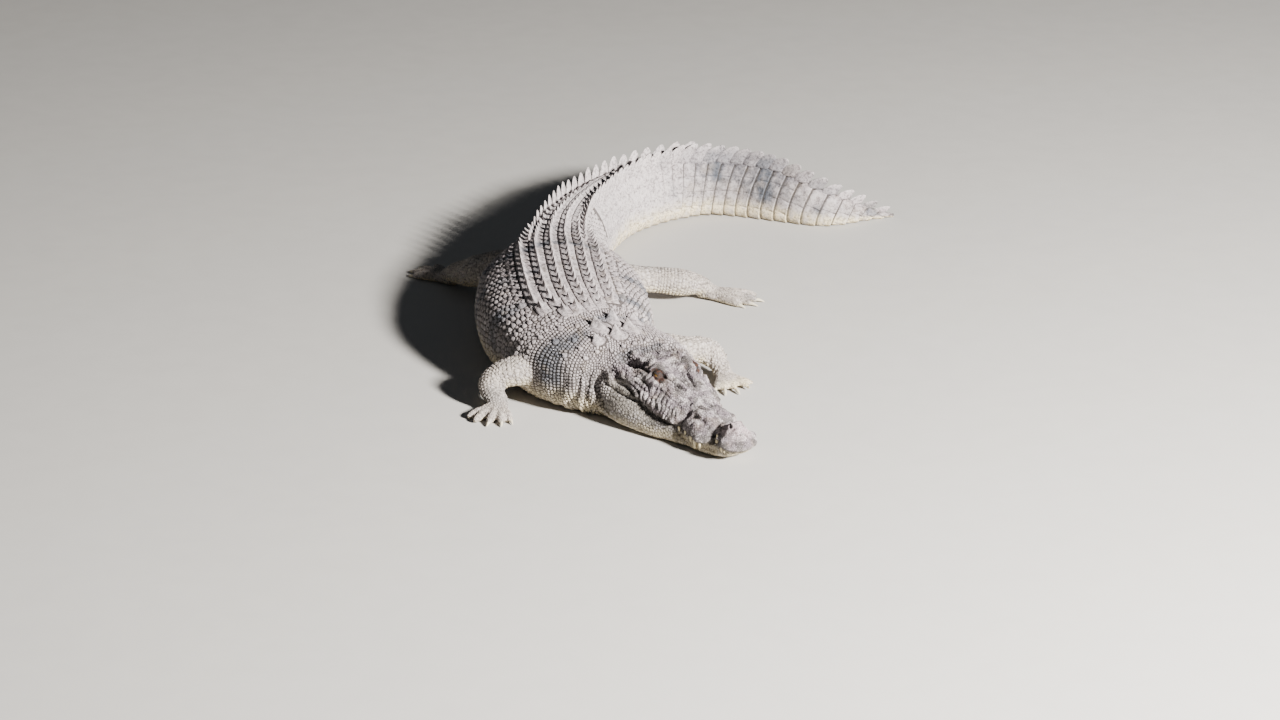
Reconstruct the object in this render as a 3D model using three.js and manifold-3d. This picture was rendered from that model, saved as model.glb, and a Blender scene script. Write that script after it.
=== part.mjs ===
// A life-size model of an adult male saltwater crocodile at rest on flat ground, with its
// neck and tail bent to its left. Millimetres, +Z up, head towards -Y, its left at +X.
// The origin lies on the ground, under the spine, in the middle of the flat of the belly.
import * as THREE from "three";
import { mergeVertices } from "three/addons/utils/BufferGeometryUtils.js";
import Module from "manifold-3d";

const wasm = await Module();
wasm.setup();

// ---------------------------------------------------------------- driving dimensions
const HEAD_LENGTH = 600; // tip of the snout to the back of the skull table
const HEAD_REAR = -0.06; // rear of the head, in head lengths forward of the skull table's back
const SPINE_LENGTH = 3410; // back of the skull table to the tip of the tail
const BELLY_STATION = 950; // distance along the spine at which the origin lies
const GAP = 0.4; // between pieces that meet
const GROUND = 0;
const SPINE_STEP = 10;

// Where the body is parted, in mm along the spine.
const NECK_START = GAP - HEAD_REAR * HEAD_LENGTH;
const TRUNK_START = 330;
const TAIL_START = 1320;
const TAIL_CUTS = [TAIL_START, 1690, 2045, 2380, 2710, 3040, SPINE_LENGTH];

const BODY_SIDES = 26;
const TAIL_SIDES = 14;
const RING_SPACING = 90;

// ---------------------------------------------------------------- curves through stations
// A cubic through [position, value] stations that never overshoots them.
function curve(stations) {
  const x = stations.map((station) => station[0]);
  const y = stations.map((station) => station[1]);
  const last = x.length - 1;
  const slope = (i) => (y[i + 1] - y[i]) / (x[i + 1] - x[i]);
  const tangent = x.map((_, i) => {
    if (i === 0) return slope(0);
    if (i === last) return slope(last - 1);
    const before = slope(i - 1);
    const after = slope(i);
    return before * after <= 0 ? 0 : (2 * before * after) / (before + after);
  });
  return (at) => {
    if (at <= x[0]) return y[0];
    if (at >= x[last]) return y[last];
    let i = 0;
    while (at > x[i + 1]) i++;
    const span = x[i + 1] - x[i];
    const t = (at - x[i]) / span;
    const rise = t * t * (3 - 2 * t);
    return (
      y[i] * (1 - rise) +
      y[i + 1] * rise +
      span * t * (1 - t) * (tangent[i] * (1 - t) - tangent[i + 1] * t)
    );
  };
}

// ---------------------------------------------------------------- the spine, seen from above
// Degrees from +X to the backward direction of the spine.
const spineHeading = curve([
  [0, 116],
  [50, 116],
  [207, 139],
  [320, 119],
  [450, 98.5],
  [690, 88.5],
  [995, 86],
  [1200, 81],
  [1440, 73.5],
  [1680, 68],
  [1905, 61],
  [2140, 48],
  [2330, 33],
  [2495, 13],
  [2640, -13],
  [2805, -34],
  [2980, -34],
  [3095, -11],
  [3205, 17],
  [3410, 10],
]);

const spinePoints = (() => {
  const points = [new THREE.Vector2(0, 0)];
  for (let s = 0; s < SPINE_LENGTH; s += SPINE_STEP) {
    const angle = THREE.MathUtils.degToRad(spineHeading(s + SPINE_STEP / 2));
    const step = new THREE.Vector2(Math.cos(angle), Math.sin(angle)).multiplyScalar(SPINE_STEP);
    points.push(points[points.length - 1].clone().add(step));
  }
  const origin = points[BELLY_STATION / SPINE_STEP].clone();
  return points.map((point) => point.sub(origin));
})();

// The point beside the spine at a distance along it: side is towards the animal's left.
function bodyPoint(s, side, height) {
  const k = THREE.MathUtils.clamp(s / SPINE_STEP, 0, spinePoints.length - 1);
  const i = Math.min(Math.floor(k), spinePoints.length - 2);
  const angle = THREE.MathUtils.degToRad(spineHeading(s));
  const spot = spinePoints[i].clone().lerp(spinePoints[i + 1], k - i);
  return new THREE.Vector3(spot.x + Math.sin(angle) * side, spot.y - Math.cos(angle) * side, height);
}

// ---------------------------------------------------------------- closed bodies
function geometryOf(positions, index) {
  const geometry = new THREE.BufferGeometry();
  geometry.setAttribute("position", new THREE.Float32BufferAttribute(positions, 3));
  geometry.setIndex(index);
  return geometry;
}

// Rings of equal size, each running anticlockwise as seen from the first ring towards the
// last, joined by strips and closed at both ends by a fan.
function loft(rings) {
  const size = rings[0].length;
  const positions = [];
  const index = [];
  const addPoint = (point) => positions.push(point.x, point.y, point.z) / 3 - 1;
  rings.forEach((ring) => ring.forEach(addPoint));
  for (let r = 0; r + 1 < rings.length; r++) {
    for (let i = 0; i < size; i++) {
      const a = r * size + i;
      const b = r * size + ((i + 1) % size);
      index.push(a, a + size, b + size, a, b + size, b);
    }
  }
  for (const r of [0, rings.length - 1]) {
    const sum = rings[r].reduce((total, point) => total.add(point), new THREE.Vector3());
    const centre = addPoint(sum.divideScalar(size));
    for (let i = 0; i < size; i++) {
      const a = r * size + i;
      const b = r * size + ((i + 1) % size);
      index.push(centre, ...(r === 0 ? [a, b] : [b, a]));
    }
  }
  return geometryOf(positions, index);
}

function toSolid(geometry) {
  const bare = geometry.clone();
  bare.deleteAttribute("normal");
  bare.deleteAttribute("uv");
  const merged = mergeVertices(bare, 1e-3);
  return new wasm.Manifold(
    new wasm.Mesh({
      numProp: 3,
      vertProperties: new Float32Array(merged.attributes.position.array),
      triVerts: new Uint32Array(merged.index.array),
    }),
  );
}

function toGeometry(solid) {
  const mesh = solid.getMesh();
  return geometryOf(Array.from(mesh.vertProperties), Array.from(mesh.triVerts));
}

const squareCorners = [
  [-1, -1],
  [1, -1],
  [1, 1],
  [-1, 1],
];

const signedPower = (value, power) => Math.sign(value) * Math.abs(value) ** power;

// ---------------------------------------------------------------- neck, trunk and tail sections
const halfWidth = curve([
  [0, 190],
  [95, 222],
  [210, 248],
  [315, 268],
  [450, 292],
  [575, 318],
  [770, 326],
  [945, 312],
  [1090, 272],
  [1270, 205],
  [1440, 164],
  [1680, 138],
  [1910, 106],
  [2200, 85],
  [2470, 76],
  [2740, 58],
  [2970, 41],
  [3180, 26],
  [3290, 16],
  [3410, 6],
]);

const topHeight = curve([
  [0, 230],
  [95, 262],
  [240, 301],
  [405, 336],
  [650, 358],
  [945, 360],
  [1145, 348],
  [1350, 334],
  [1660, 312],
  [1955, 290],
  [2245, 262],
  [2620, 234],
  [2850, 228],
  [2985, 196],
  [3125, 140],
  [3260, 78],
  [3320, 50],
  [3370, 30],
  [3410, 15],
]);

// Height of the widest part, and how far the rounding of the belly would reach below ground.
const waistHeight = curve([
  [0, 105],
  [430, 145],
  [910, 157],
  [1260, 140],
  [1750, 98],
  [2570, 66],
  [2980, 50],
  [3260, 33],
  [3410, 9],
]);
const bellyDepth = curve([
  [0, 24],
  [430, 30],
  [910, 32],
  [1260, 26],
  [1750, 13],
  [2570, 6],
  [3410, 2],
]);
const upperPower = curve([
  [0, 0.8],
  [430, 0.86],
  [910, 0.9],
  [1350, 0.98],
  [1910, 1.12],
  [2880, 1.25],
  [3410, 1.1],
]);
const LOWER_POWER = 0.72;

function bodyRing(s, sides, margin = 0) {
  const ring = [];
  for (let i = 0; i < sides; i++) {
    const angle = (2 * Math.PI * i) / sides;
    const up = Math.sin(angle) >= 0;
    const power = up ? upperPower(s) : LOWER_POWER;
    const across = signedPower(Math.cos(angle), power) * (halfWidth(s) + margin);
    const reach = up ? topHeight(s) - waistHeight(s) : waistHeight(s) + bellyDepth(s);
    const height = waistHeight(s) + signedPower(Math.sin(angle), power) * (reach + margin);
    ring.push(bodyPoint(s, across, Math.max(height, GROUND - margin)));
  }
  return ring;
}

function bodyLoft(from, to, sides, margin = 0) {
  const steps = Math.max(2, Math.round((to - from) / RING_SPACING));
  const rings = [];
  for (let i = 0; i <= steps; i++) rings.push(bodyRing(from + ((to - from) * i) / steps, sides, margin));
  return loft(rings);
}

// ---------------------------------------------------------------- the head
// Head sections are measured in head lengths: forward from the back of the skull table,
// sideways from the middle and up from the ground.
const headStations = [
  HEAD_REAR, 0, 0.06, 0.13, 0.2, 0.26, 0.33, 0.41, 0.5, 0.58, 0.64, 0.69, 0.74, 0.78, 0.82, 0.86,
  0.91, 0.94, 0.965, 0.98,
];
const JAW_TIP = 0.935;
const jawStations = headStations.filter((y) => y < JAW_TIP).concat(JAW_TIP);

const crown = curve([
  [HEAD_REAR, 0.385],
  [0.1, 0.39],
  [0.2, 0.382],
  [0.3, 0.345],
  [0.4, 0.305],
  [0.5, 0.268],
  [0.6, 0.237],
  [0.7, 0.214],
  [0.79, 0.19],
  [0.855, 0.21],
  [0.91, 0.212],
  [0.945, 0.19],
  [0.98, 0.128],
]);
const browWidth = curve([
  [HEAD_REAR, 0.14],
  [0.1, 0.118],
  [0.22, 0.12],
  [0.32, 0.108],
  [0.42, 0.084],
  [0.6, 0.072],
  [0.72, 0.076],
  [0.79, 0.053],
  [0.87, 0.068],
  [0.935, 0.058],
  [0.98, 0.02],
]);
const browRise = curve([
  [HEAD_REAR, -0.01],
  [0.1, 0.004],
  [0.22, 0.022],
  [0.32, 0.018],
  [0.45, 0.006],
  [0.6, -0.006],
  [1, -0.012],
]);
const jawWidth = curve([
  [HEAD_REAR, 0.295],
  [0.04, 0.276],
  [0.13, 0.262],
  [0.26, 0.235],
  [0.4, 0.2],
  [0.52, 0.174],
  [0.62, 0.16],
  [0.69, 0.162],
  [0.74, 0.148],
  [0.785, 0.102],
  [0.83, 0.102],
  [0.88, 0.117],
  [0.925, 0.11],
  [0.965, 0.075],
  [0.98, 0.045],
]);
const lipHeight = curve([
  [HEAD_REAR, 0.272],
  [0.06, 0.272],
  [0.12, 0.26],
  [0.19, 0.222],
  [0.27, 0.168],
  [0.34, 0.14],
  [0.46, 0.122],
  [0.56, 0.105],
  [0.64, 0.075],
  [0.7, 0.064],
  [0.76, 0.083],
  [0.8, 0.11],
  [0.84, 0.097],
  [0.9, 0.083],
  [1, 0.08],
]);
const lowerJawWidth = curve([
  [HEAD_REAR, 0.335],
  [0.05, 0.333],
  [0.15, 0.312],
  [0.3, 0.262],
  [0.45, 0.208],
  [0.6, 0.155],
  [0.75, 0.12],
  [0.86, 0.098],
  [0.92, 0.07],
  [0.945, 0.03],
]);

const chinHeight = curve([
  [0.76, 0],
  [0.86, 0.018],
  [0.935, 0.06],
]);

const headAngle = THREE.MathUtils.degToRad(spineHeading(0));

function headPoint(forward, side, up) {
  const nape = bodyPoint(0, side * HEAD_LENGTH, Math.max(up * HEAD_LENGTH, GROUND));
  const reach = forward * HEAD_LENGTH;
  return nape.sub(new THREE.Vector3(Math.cos(headAngle) * reach, Math.sin(headAngle) * reach, 0));
}

// A head section is half an outline, from the middle of its top down to the middle of its
// underside, mirrored. The middle points are not repeated.
function mirroredRing(forward, half) {
  const right = half.slice(1, -1).map(([side, up]) => headPoint(forward, -side, up));
  const left = half.slice(1, -1).map(([side, up]) => headPoint(forward, side, up));
  const top = headPoint(forward, 0, half[0][1]);
  const under = headPoint(forward, 0, half[half.length - 1][1]);
  return [top, ...right, under, ...left.reverse()].reverse();
}

function upperHeadHalf(y) {
  const top = crown(y);
  const brow = browWidth(y);
  const jaw = jawWidth(y);
  const lip = lipHeight(y);
  const rim = top + browRise(y);
  const cheek = lip + (rim - lip) * 0.3;
  const hollow = brow + (jaw - brow) * 0.34;
  return [
    [0, top],
    [brow * 0.5, top + browRise(y) * 0.4],
    [brow * 0.86, rim],
    [brow * 1.04, rim - 0.02],
    [hollow, cheek + (rim - cheek) * 0.52],
    [jaw * 0.86, cheek + (rim - cheek) * 0.22],
    [jaw * 0.99, cheek],
    [jaw, lip + (cheek - lip) * 0.3],
    [jaw * 0.96, lip],
    [0, lip],
  ];
}

function lowerJawHalf(y) {
  const seam = lipHeight(y) - GAP / HEAD_LENGTH;
  const jaw = lowerJawWidth(y);
  const chin = chinHeight(y);
  return [
    [0, seam],
    [Math.min(jawWidth(y) * 0.95, jaw * 0.97), seam],
    [jaw, chin + (seam - chin) * 0.62],
    [jaw, chin + (seam - chin) * 0.24],
    [jaw * 0.88, chin],
    [0, chin],
  ];
}

const headLoft = (stations, half) => loft(stations.map((y) => mirroredRing(y, half(y))));

// ---------------------------------------------------------------- eyes, ear flaps and teeth
const EYE_RADIUS = 19;
const EYE = { forward: 0.25, side: 0.122, up: 0.345 };
const EAR = { rear: -0.03, front: 0.125, side: 0.13, up: 0.349, tall: 14, thick: 7 };

function eyeball(side, margin = 0) {
  const ball = new THREE.SphereGeometry(EYE_RADIUS + margin, 10, 7);
  const centre = headPoint(EYE.forward, side * EYE.side, EYE.up);
  return ball.translate(centre.x, centre.y, centre.z);
}

// The flap that covers the ear lies in a groove under the edge of the skull table.
function earFlap(side, margin = 0) {
  const stations = [0, 0.33, 0.67, 1].map((part) => EAR.rear + (EAR.front - EAR.rear) * part);
  const swell = [0.45, 1, 0.9, 0.4];
  const ring = (y, i) => {
    const tall = (EAR.tall * swell[i] + margin) / HEAD_LENGTH;
    const thick = (EAR.thick * swell[i] + margin) / HEAD_LENGTH;
    const points = squareCorners.map(([out, up]) =>
      headPoint(y, side * (EAR.side + out * thick), EAR.up + up * tall),
    );
    return side > 0 ? points.reverse() : points;
  };
  return loft(stations.map(ring));
}

// Teeth that show with the mouth shut, as [forward, length, width] in head lengths.
const UPPER_TEETH = [
  [0.87, 0.024, 0.014],
  [0.71, 0.034, 0.018],
  [0.665, 0.05, 0.024],
  [0.62, 0.03, 0.018],
  [0.52, 0.026, 0.016],
];
const LOWER_TEETH = [[0.8, 0.05, 0.022]];
const TOOTH_ROOT = 0.02;
const UPPER_TOOTH_LINE = 0.92; // distance from the middle, as a part of the jaw's half width
const LOWER_TOOTH_LINE = 0.9;

// Direction is 1 for a tooth that points up and -1 for one that points down.
function tooth([forward, length, width], side, inset, direction, margin = 0) {
  const ring = (reach, size) => {
    const half = size / 2 + margin;
    const place = ([along, out]) =>
      headPoint(
        forward + along * half,
        side * (inset + out * half),
        lipHeight(forward) + direction * reach,
      );
    const points = squareCorners.map(place);
    return side * direction > 0 ? points.reverse() : points;
  };
  return loft([
    ring(-TOOTH_ROOT, width),
    ring(length * 0.4, width * 0.85),
    ring(length + margin, width * 0.15),
  ]);
}

function upperTooth(spec, side, margin) {
  return tooth(spec, side, jawWidth(spec[0]) * UPPER_TOOTH_LINE, -1, margin);
}

function lowerTooth(spec, side, margin) {
  return tooth(spec, side, lowerJawWidth(spec[0]) * LOWER_TOOTH_LINE, 1, margin);
}

// ---------------------------------------------------------------- the crest of the tail
// Two rows of upright flaps run back from the hips, close in on each other and become one.
const FLAP_PITCH = 58;
const CREST_MERGE = 2510; // along the spine, where the two rows become one
const FLAP_SINK = 22;
const flapHeight = curve([
  [1030, 18],
  [1340, 36],
  [1720, 62],
  [2210, 70],
  [2600, 67],
  [2890, 53],
  [3040, 42],
  [3230, 27],
  [3380, 12],
]);
const crestSpread = curve([
  [1030, 112],
  [1440, 104],
  [1770, 95],
  [2050, 72],
  [2290, 44],
  [2430, 22],
  [2510, 0],
]);
const FLAP_SPLAY = 0.12; // how far its tip leans out
const FLAP_LEAN = 0.35; // how far the tip of a flap lies back, as a part of its height

function crestFlap(s, side, spread) {
  const height = flapHeight(s);
  const long = FLAP_PITCH * 0.94;
  const thick = side === 0 ? 9 : 11;
  const levels = [
    { up: -FLAP_SINK, back: 0, length: long, width: thick },
    { up: height, back: height * FLAP_LEAN, length: long * 0.4, width: thick * 0.4 },
  ];
  const rise = spread / halfWidth(s);
  const foot =
    waistHeight(s) +
    (topHeight(s) - waistHeight(s)) * (1 - rise ** (2 / upperPower(s))) ** (upperPower(s) / 2);
  const rings = levels.map((level) =>
    squareCorners.map(([along, across]) =>
      bodyPoint(
        s + level.back + (along * level.length) / 2,
        side * (spread + level.up * FLAP_SPLAY) - (across * level.width) / 2,
        foot + level.up,
      ),
    ),
  );
  return loft(rings.map((ring) => ring.reverse()));
}

function crestFlaps(from, to) {
  const flaps = [];
  for (let s = from + FLAP_PITCH / 2; s + FLAP_PITCH / 2 < to; s += FLAP_PITCH) {
    const sides = s < CREST_MERGE ? [-1, 1] : [0];
    for (const side of sides) flaps.push(crestFlap(s, side, side === 0 ? 0 : crestSpread(s)));
  }
  return flaps;
}

function tailLength(from, to) {
  let solid = toSolid(bodyLoft(from + GAP, to, TAIL_SIDES));
  for (const flap of crestFlaps(from + GAP, to)) solid = solid.add(toSolid(flap));
  return toGeometry(solid);
}

// ---------------------------------------------------------------- limbs
const LIMB_SIDES = 10;
const LIMB_STEPS = 10;
const PAD_SIDES = 8;
const PAD_STEPS = 3;
const DIGIT_SIDES = 5;
const DIGIT_STEPS = 2;
const CLAW_SIDES = 4;
const CLAW_ROOT = 4; // length of claw inside the digit

// A tube through joints, given as [x, y, z, half width, half height], rounded between them.
function tubeRings(joints, sides, steps, margin = 0) {
  const path = new THREE.CatmullRomCurve3(joints.map(([x, y, z]) => new THREE.Vector3(x, y, z)));
  path.curveType = "centripetal";
  const last = joints.length - 1;
  const wide = curve(joints.map((joint, i) => [i / last, joint[3]]));
  const tall = curve(joints.map((joint, i) => [i / last, joint[4]]));
  const rings = [];
  for (let k = 0; k <= steps; k++) {
    const t = k / steps;
    const centre = path.getPoint(t);
    const along = path.getTangent(t);
    const across = new THREE.Vector3(0, 0, 1).cross(along).normalize();
    const up = new THREE.Vector3().crossVectors(along, across).normalize();
    const ring = [];
    for (let i = 0; i < sides; i++) {
      const angle = (-2 * Math.PI * i) / sides;
      const point = centre
        .clone()
        .addScaledVector(across, Math.cos(angle) * (wide(t) + margin))
        .addScaledVector(up, Math.sin(angle) * (tall(t) + margin));
      point.z = Math.max(point.z, GROUND - margin);
      ring.push(point);
    }
    rings.push(ring);
  }
  return rings;
}

// A ring moved level along the tube, towards a neighbouring ring or away from it.
function shiftedRing(ring, neighbour, distance) {
  const middle = (points) =>
    points.reduce((sum, p) => sum.add(p), new THREE.Vector3()).divideScalar(points.length);
  const along = middle(neighbour).sub(middle(ring)).setZ(0).setLength(1);
  return ring.map((point) => point.clone().addScaledVector(along, distance));
}

// The two lengths of a limb, parted at one ring. A margin swells them into cutting tools.
function limbLengths(joints, cut, margin = 0) {
  const rings = tubeRings(joints, LIMB_SIDES, LIMB_STEPS, margin);
  const upper = rings.slice(0, cut + 1);
  const lower = rings.slice(cut);
  if (margin > 0) {
    const end = lower.length - 1;
    upper[cut] = shiftedRing(upper[cut], upper[cut - 1], -margin);
    lower[end] = shiftedRing(lower[end], lower[end - 1], -margin);
  }
  return [toSolid(loft(upper)), toSolid(loft(lower))];
}

// A foot lies on the ground: a pad, with digits that spread from its front edge.
function foot(pose, shape) {
  const ahead = (angle) => {
    const turned = THREE.MathUtils.degToRad(pose.heading + pose.turn * angle);
    return new THREE.Vector3(Math.cos(turned), Math.sin(turned), 0);
  };
  const [x, y] = pose.ankle;
  const at = (start, direction, distance, height) =>
    start.clone().addScaledVector(direction, distance).setZ(height);
  const ankle = new THREE.Vector3(x, y, 0);
  const forward = ahead(0);
  const padJoints = [-0.25, 0.25, 0.7, 1].map((part, i) => {
    const spot = at(ankle, forward, part * shape.pad, shape.padHeight[i]);
    return [spot.x, spot.y, spot.z, shape.padWidth[i], shape.padHeight[i] * 1.08];
  });
  let solid = toSolid(loft(tubeRings(padJoints, PAD_SIDES, PAD_STEPS)));
  const claws = [];
  const sockets = [];
  shape.digits.forEach((digit) => {
    const sideways = ahead(90);
    const root = at(ankle, forward, shape.pad * 0.6, 0).addScaledVector(sideways, digit.offset);
    const direction = ahead(digit.angle);
    const joints = [
      [0, 20, 15, 19],
      [0.45, 17, 13, 17],
      [0.8, 14, 11, 13],
      [1, 9, 8, 8.5],
    ].map(([part, height, wide, tall]) => {
      const spot = at(root, direction, part * digit.length, height);
      return [spot.x, spot.y, spot.z, wide, tall];
    });
    solid = solid.add(toSolid(loft(tubeRings(joints, DIGIT_SIDES, DIGIT_STEPS))));
    if (!digit.claw) return;
    const claw = (margin) => {
      const joints = [
        [-CLAW_ROOT - margin, 9, 5.8, 6.6],
        [digit.claw * 0.55, 8.5, 4.2, 5],
        [digit.claw, 3, 0.9, 1.4],
      ].map(([reach, height, wide, tall]) => {
        const spot = at(root, direction, digit.length + reach, height);
        return [spot.x, spot.y, spot.z, wide, tall];
      });
      return loft(tubeRings(joints, CLAW_SIDES, DIGIT_STEPS, margin));
    };
    claws.push(claw(0));
    sockets.push(toSolid(claw(GAP)));
  });
  for (const socket of sockets) solid = solid.subtract(socket);
  return { solid, claws };
}

const FORE_FOOT = {
  pad: 82,
  padWidth: [34, 41, 47, 36],
  padHeight: [31, 26, 20, 15],
  digits: [
    { angle: 32, offset: 32, length: 66, claw: 26 },
    { angle: 15, offset: 18, length: 84, claw: 28 },
    { angle: -3, offset: 1, length: 90, claw: 26 },
    { angle: -25, offset: -17, length: 92 },
    { angle: -48, offset: -30, length: 76 },
  ],
};

const HIND_FOOT = {
  pad: 126,
  padWidth: [38, 46, 52, 41],
  padHeight: [33, 28, 21, 15],
  digits: [
    { angle: 16, offset: 34, length: 78, claw: 30 },
    { angle: 6, offset: 12, length: 110, claw: 34 },
    { angle: -8, offset: -10, length: 118, claw: 32 },
    { angle: -24, offset: -33, length: 102 },
  ],
};

// Each limb: joints from inside the body to the ankle, the ring at which it is parted, and
// the foot. Turn is 1 where the inner digit lies anticlockwise of the outer ones.
const LIMBS = {
  foreleg_right: {
    upper: "upper_arm",
    lower: "forearm",
    joints: [
      [-81, -630, 140, 82, 74],
      [-205, -698, 124, 70, 60],
      [-290, -694, 107, 59, 53],
      [-330, -712, 82, 51, 47],
      [-332, -746, 56, 45, 40],
      [-312, -780, 36, 39, 31],
    ],
    cut: 5,
    shape: FORE_FOOT,
    pose: { ankle: [-312, -780], heading: 250, turn: 1 },
  },
  foreleg_left: {
    upper: "upper_arm",
    lower: "forearm",
    joints: [
      [134, -566, 144, 82, 74],
      [295, -564, 129, 69, 58],
      [406, -550, 115, 58, 50],
      [478, -535, 96, 50, 47],
      [516, -556, 63, 44, 40],
      [529, -592, 38, 39, 31],
    ],
    cut: 6,
    shape: FORE_FOOT,
    pose: { ankle: [529, -592], heading: 282, turn: -1 },
  },
  hindleg_right: {
    upper: "thigh",
    lower: "shank",
    joints: [
      [-53, 240, 148, 102, 86],
      [-170, 327, 140, 93, 79],
      [-255, 399, 115, 82, 68],
      [-308, 473, 83, 61, 54],
      [-344, 547, 56, 46, 40],
      [-362, 580, 40, 41, 32],
    ],
    cut: 5,
    shape: HIND_FOOT,
    pose: { ankle: [-362, 580], heading: 127, turn: 1 },
  },
  hindleg_left: {
    upper: "thigh",
    lower: "shank",
    joints: [
      [72, 174, 148, 102, 86],
      [260, 237, 113, 78, 67],
      [397, 268, 91, 60, 50],
      [501, 262, 77, 61, 52],
      [573, 279, 60, 46, 40],
      [612, 282, 42, 41, 32],
    ],
    cut: 6,
    shape: HIND_FOOT,
    pose: { ankle: [612, 282], heading: 331, turn: -1 },
  },
};

// ---------------------------------------------------------------- materials
const matte = (color) => new THREE.MeshStandardMaterial({ color, roughness: 0.85, metalness: 0 });
const headHide = matte(0xa59d9b);
const jawHide = matte(0xc6c0b0);
const neckHide = matte(0xbdb9ae);
const trunkHide = matte(0xb4b3ae);
const tailHide = matte(0xb8b5a6);
const legHide = matte(0xaba699);
const footHide = matte(0xb8b2a4);
const earHide = matte(0x5c5552);
const clawHorn = new THREE.MeshStandardMaterial({ color: 0xb3a98f, roughness: 0.45, metalness: 0 });
const eyeWet = new THREE.MeshStandardMaterial({ color: 0x5a4520, roughness: 0.12, metalness: 0 });

// ---------------------------------------------------------------- the animal
const crocodile = new THREE.Group();
const SIDES = { right: -1, left: 1 };

function addNode(name, geometry, material) {
  const mesh = new THREE.Mesh(geometry, material);
  mesh.name = name;
  crocodile.add(mesh);
}

function addHead() {
  const toothGap = GAP / HEAD_LENGTH;
  let head = toSolid(headLoft(headStations, upperHeadHalf));
  let jaw = toSolid(headLoft(jawStations, lowerJawHalf));
  for (const side of Object.values(SIDES)) {
    for (const spec of UPPER_TEETH) jaw = jaw.subtract(toSolid(upperTooth(spec, side, toothGap)));
    for (const spec of LOWER_TEETH) head = head.subtract(toSolid(lowerTooth(spec, side, toothGap)));
  }
  for (const side of Object.values(SIDES)) {
    head = head.subtract(toSolid(eyeball(side, GAP))).subtract(toSolid(earFlap(side, GAP)));
    for (const spec of UPPER_TEETH) head = head.add(toSolid(upperTooth(spec, side)));
    for (const spec of LOWER_TEETH) jaw = jaw.add(toSolid(lowerTooth(spec, side)));
  }
  addNode("head", toGeometry(head), headHide);
  addNode("lower_jaw", toGeometry(jaw), jawHide);
  for (const [name, side] of Object.entries(SIDES)) {
    addNode(`eye_${name}`, eyeball(side), eyeWet);
    addNode(`ear_flap_${name}`, earFlap(side), earHide);
  }
}

const bodyLengths = {
  neck: [NECK_START, TRUNK_START - GAP],
  trunk: [TRUNK_START, TAIL_START],
};

function addBody() {
  addNode("neck", bodyLoft(...bodyLengths.neck, BODY_SIDES), neckHide);
  addNode("trunk", bodyLoft(...bodyLengths.trunk, BODY_SIDES), trunkHide);
  for (let i = 0; i + 1 < TAIL_CUTS.length; i++) {
    addNode(`tail_${i + 1}`, tailLength(TAIL_CUTS[i], TAIL_CUTS[i + 1]), tailHide);
  }
}

// The body swollen by the gap, with its cuts filled, to cut the limbs off at its surface.
function bodyTool() {
  const fill = 2 * GAP;
  let tool = toSolid(bodyLoft(...bodyLengths.trunk, BODY_SIDES, GAP));
  tool = tool.add(toSolid(bodyLoft(...bodyLengths.neck, BODY_SIDES, GAP)));
  tool = tool.add(toSolid(bodyLoft(TAIL_START + GAP, TAIL_CUTS[1], TAIL_SIDES, GAP)));
  for (const cut of [TRUNK_START, TAIL_START]) {
    tool = tool.add(toSolid(bodyLoft(cut - fill, cut + fill, BODY_SIDES, GAP)));
  }
  return tool;
}

function addLimbs() {
  const body = bodyTool();
  for (const [name, limb] of Object.entries(LIMBS)) {
    const [upper, lower] = limbLengths(limb.joints, limb.cut);
    const [upperTool, lowerTool] = limbLengths(limb.joints, limb.cut, GAP);
    const paw = foot(limb.pose, limb.shape);
    addNode(`${name}_${limb.upper}`, toGeometry(upper.subtract(body)), legHide);
    addNode(`${name}_${limb.lower}`, toGeometry(lower.subtract(upperTool)), legHide);
    addNode(`${name}_foot`, toGeometry(paw.solid.subtract(lowerTool)), footHide);
    paw.claws.forEach((claw, i) => addNode(`${name}_claw_${i + 1}`, claw, clawHorn));
  }
}

addHead();
addBody();
addLimbs();

export default crocodile;
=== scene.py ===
# Builds the looks of a life-size saltwater crocodile: one skin over the whole body, with
# scutes, scales, crest, eyes, lids, teeth and claws as meshes of their own. Metres, +Z up.
import functools
import itertools
import math

import bmesh
import bpy
import numpy as np
from bpy.props import FloatProperty, FloatVectorProperty, PointerProperty
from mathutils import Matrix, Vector
from mathutils.bvhtree import BVHTree
from mathutils.kdtree import KDTree


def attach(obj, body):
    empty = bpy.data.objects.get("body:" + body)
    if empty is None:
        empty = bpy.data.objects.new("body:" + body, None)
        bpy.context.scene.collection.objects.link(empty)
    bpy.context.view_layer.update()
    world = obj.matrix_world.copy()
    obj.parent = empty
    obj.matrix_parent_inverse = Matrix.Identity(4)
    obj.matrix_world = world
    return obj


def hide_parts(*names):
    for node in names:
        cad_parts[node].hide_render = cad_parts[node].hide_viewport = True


bl_info = {
    "name": "Saltwater Crocodile",
    "version": (1, 0, 0),
    "blender": (4, 5, 0),
    "location": "3D View > Sidebar > Crocodile",
    "description": "Builds the skin, scales, eyes, teeth and claws of a resting crocodile",
    "category": "Add Mesh",
}

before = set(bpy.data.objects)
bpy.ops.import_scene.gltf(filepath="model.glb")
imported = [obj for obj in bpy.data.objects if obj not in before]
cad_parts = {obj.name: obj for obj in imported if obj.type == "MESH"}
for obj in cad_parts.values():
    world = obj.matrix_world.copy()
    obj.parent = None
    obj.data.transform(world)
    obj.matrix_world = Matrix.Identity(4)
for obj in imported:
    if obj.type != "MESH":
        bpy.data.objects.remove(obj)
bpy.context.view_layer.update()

MM = 0.001
HEAD_LENGTH = 0.6  # tip of the snout to the back of the skull table
HEAD_REAR = -0.06  # in head lengths
SPINE_LENGTH = 3.41
BELLY_STATION = 0.95
SPINE_STEP = 0.01
TAIL_START = 1.32
CREST_MERGE = 2.51
LOWER_POWER = 0.72
SIDES = {"right": -1, "left": 1}


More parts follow.
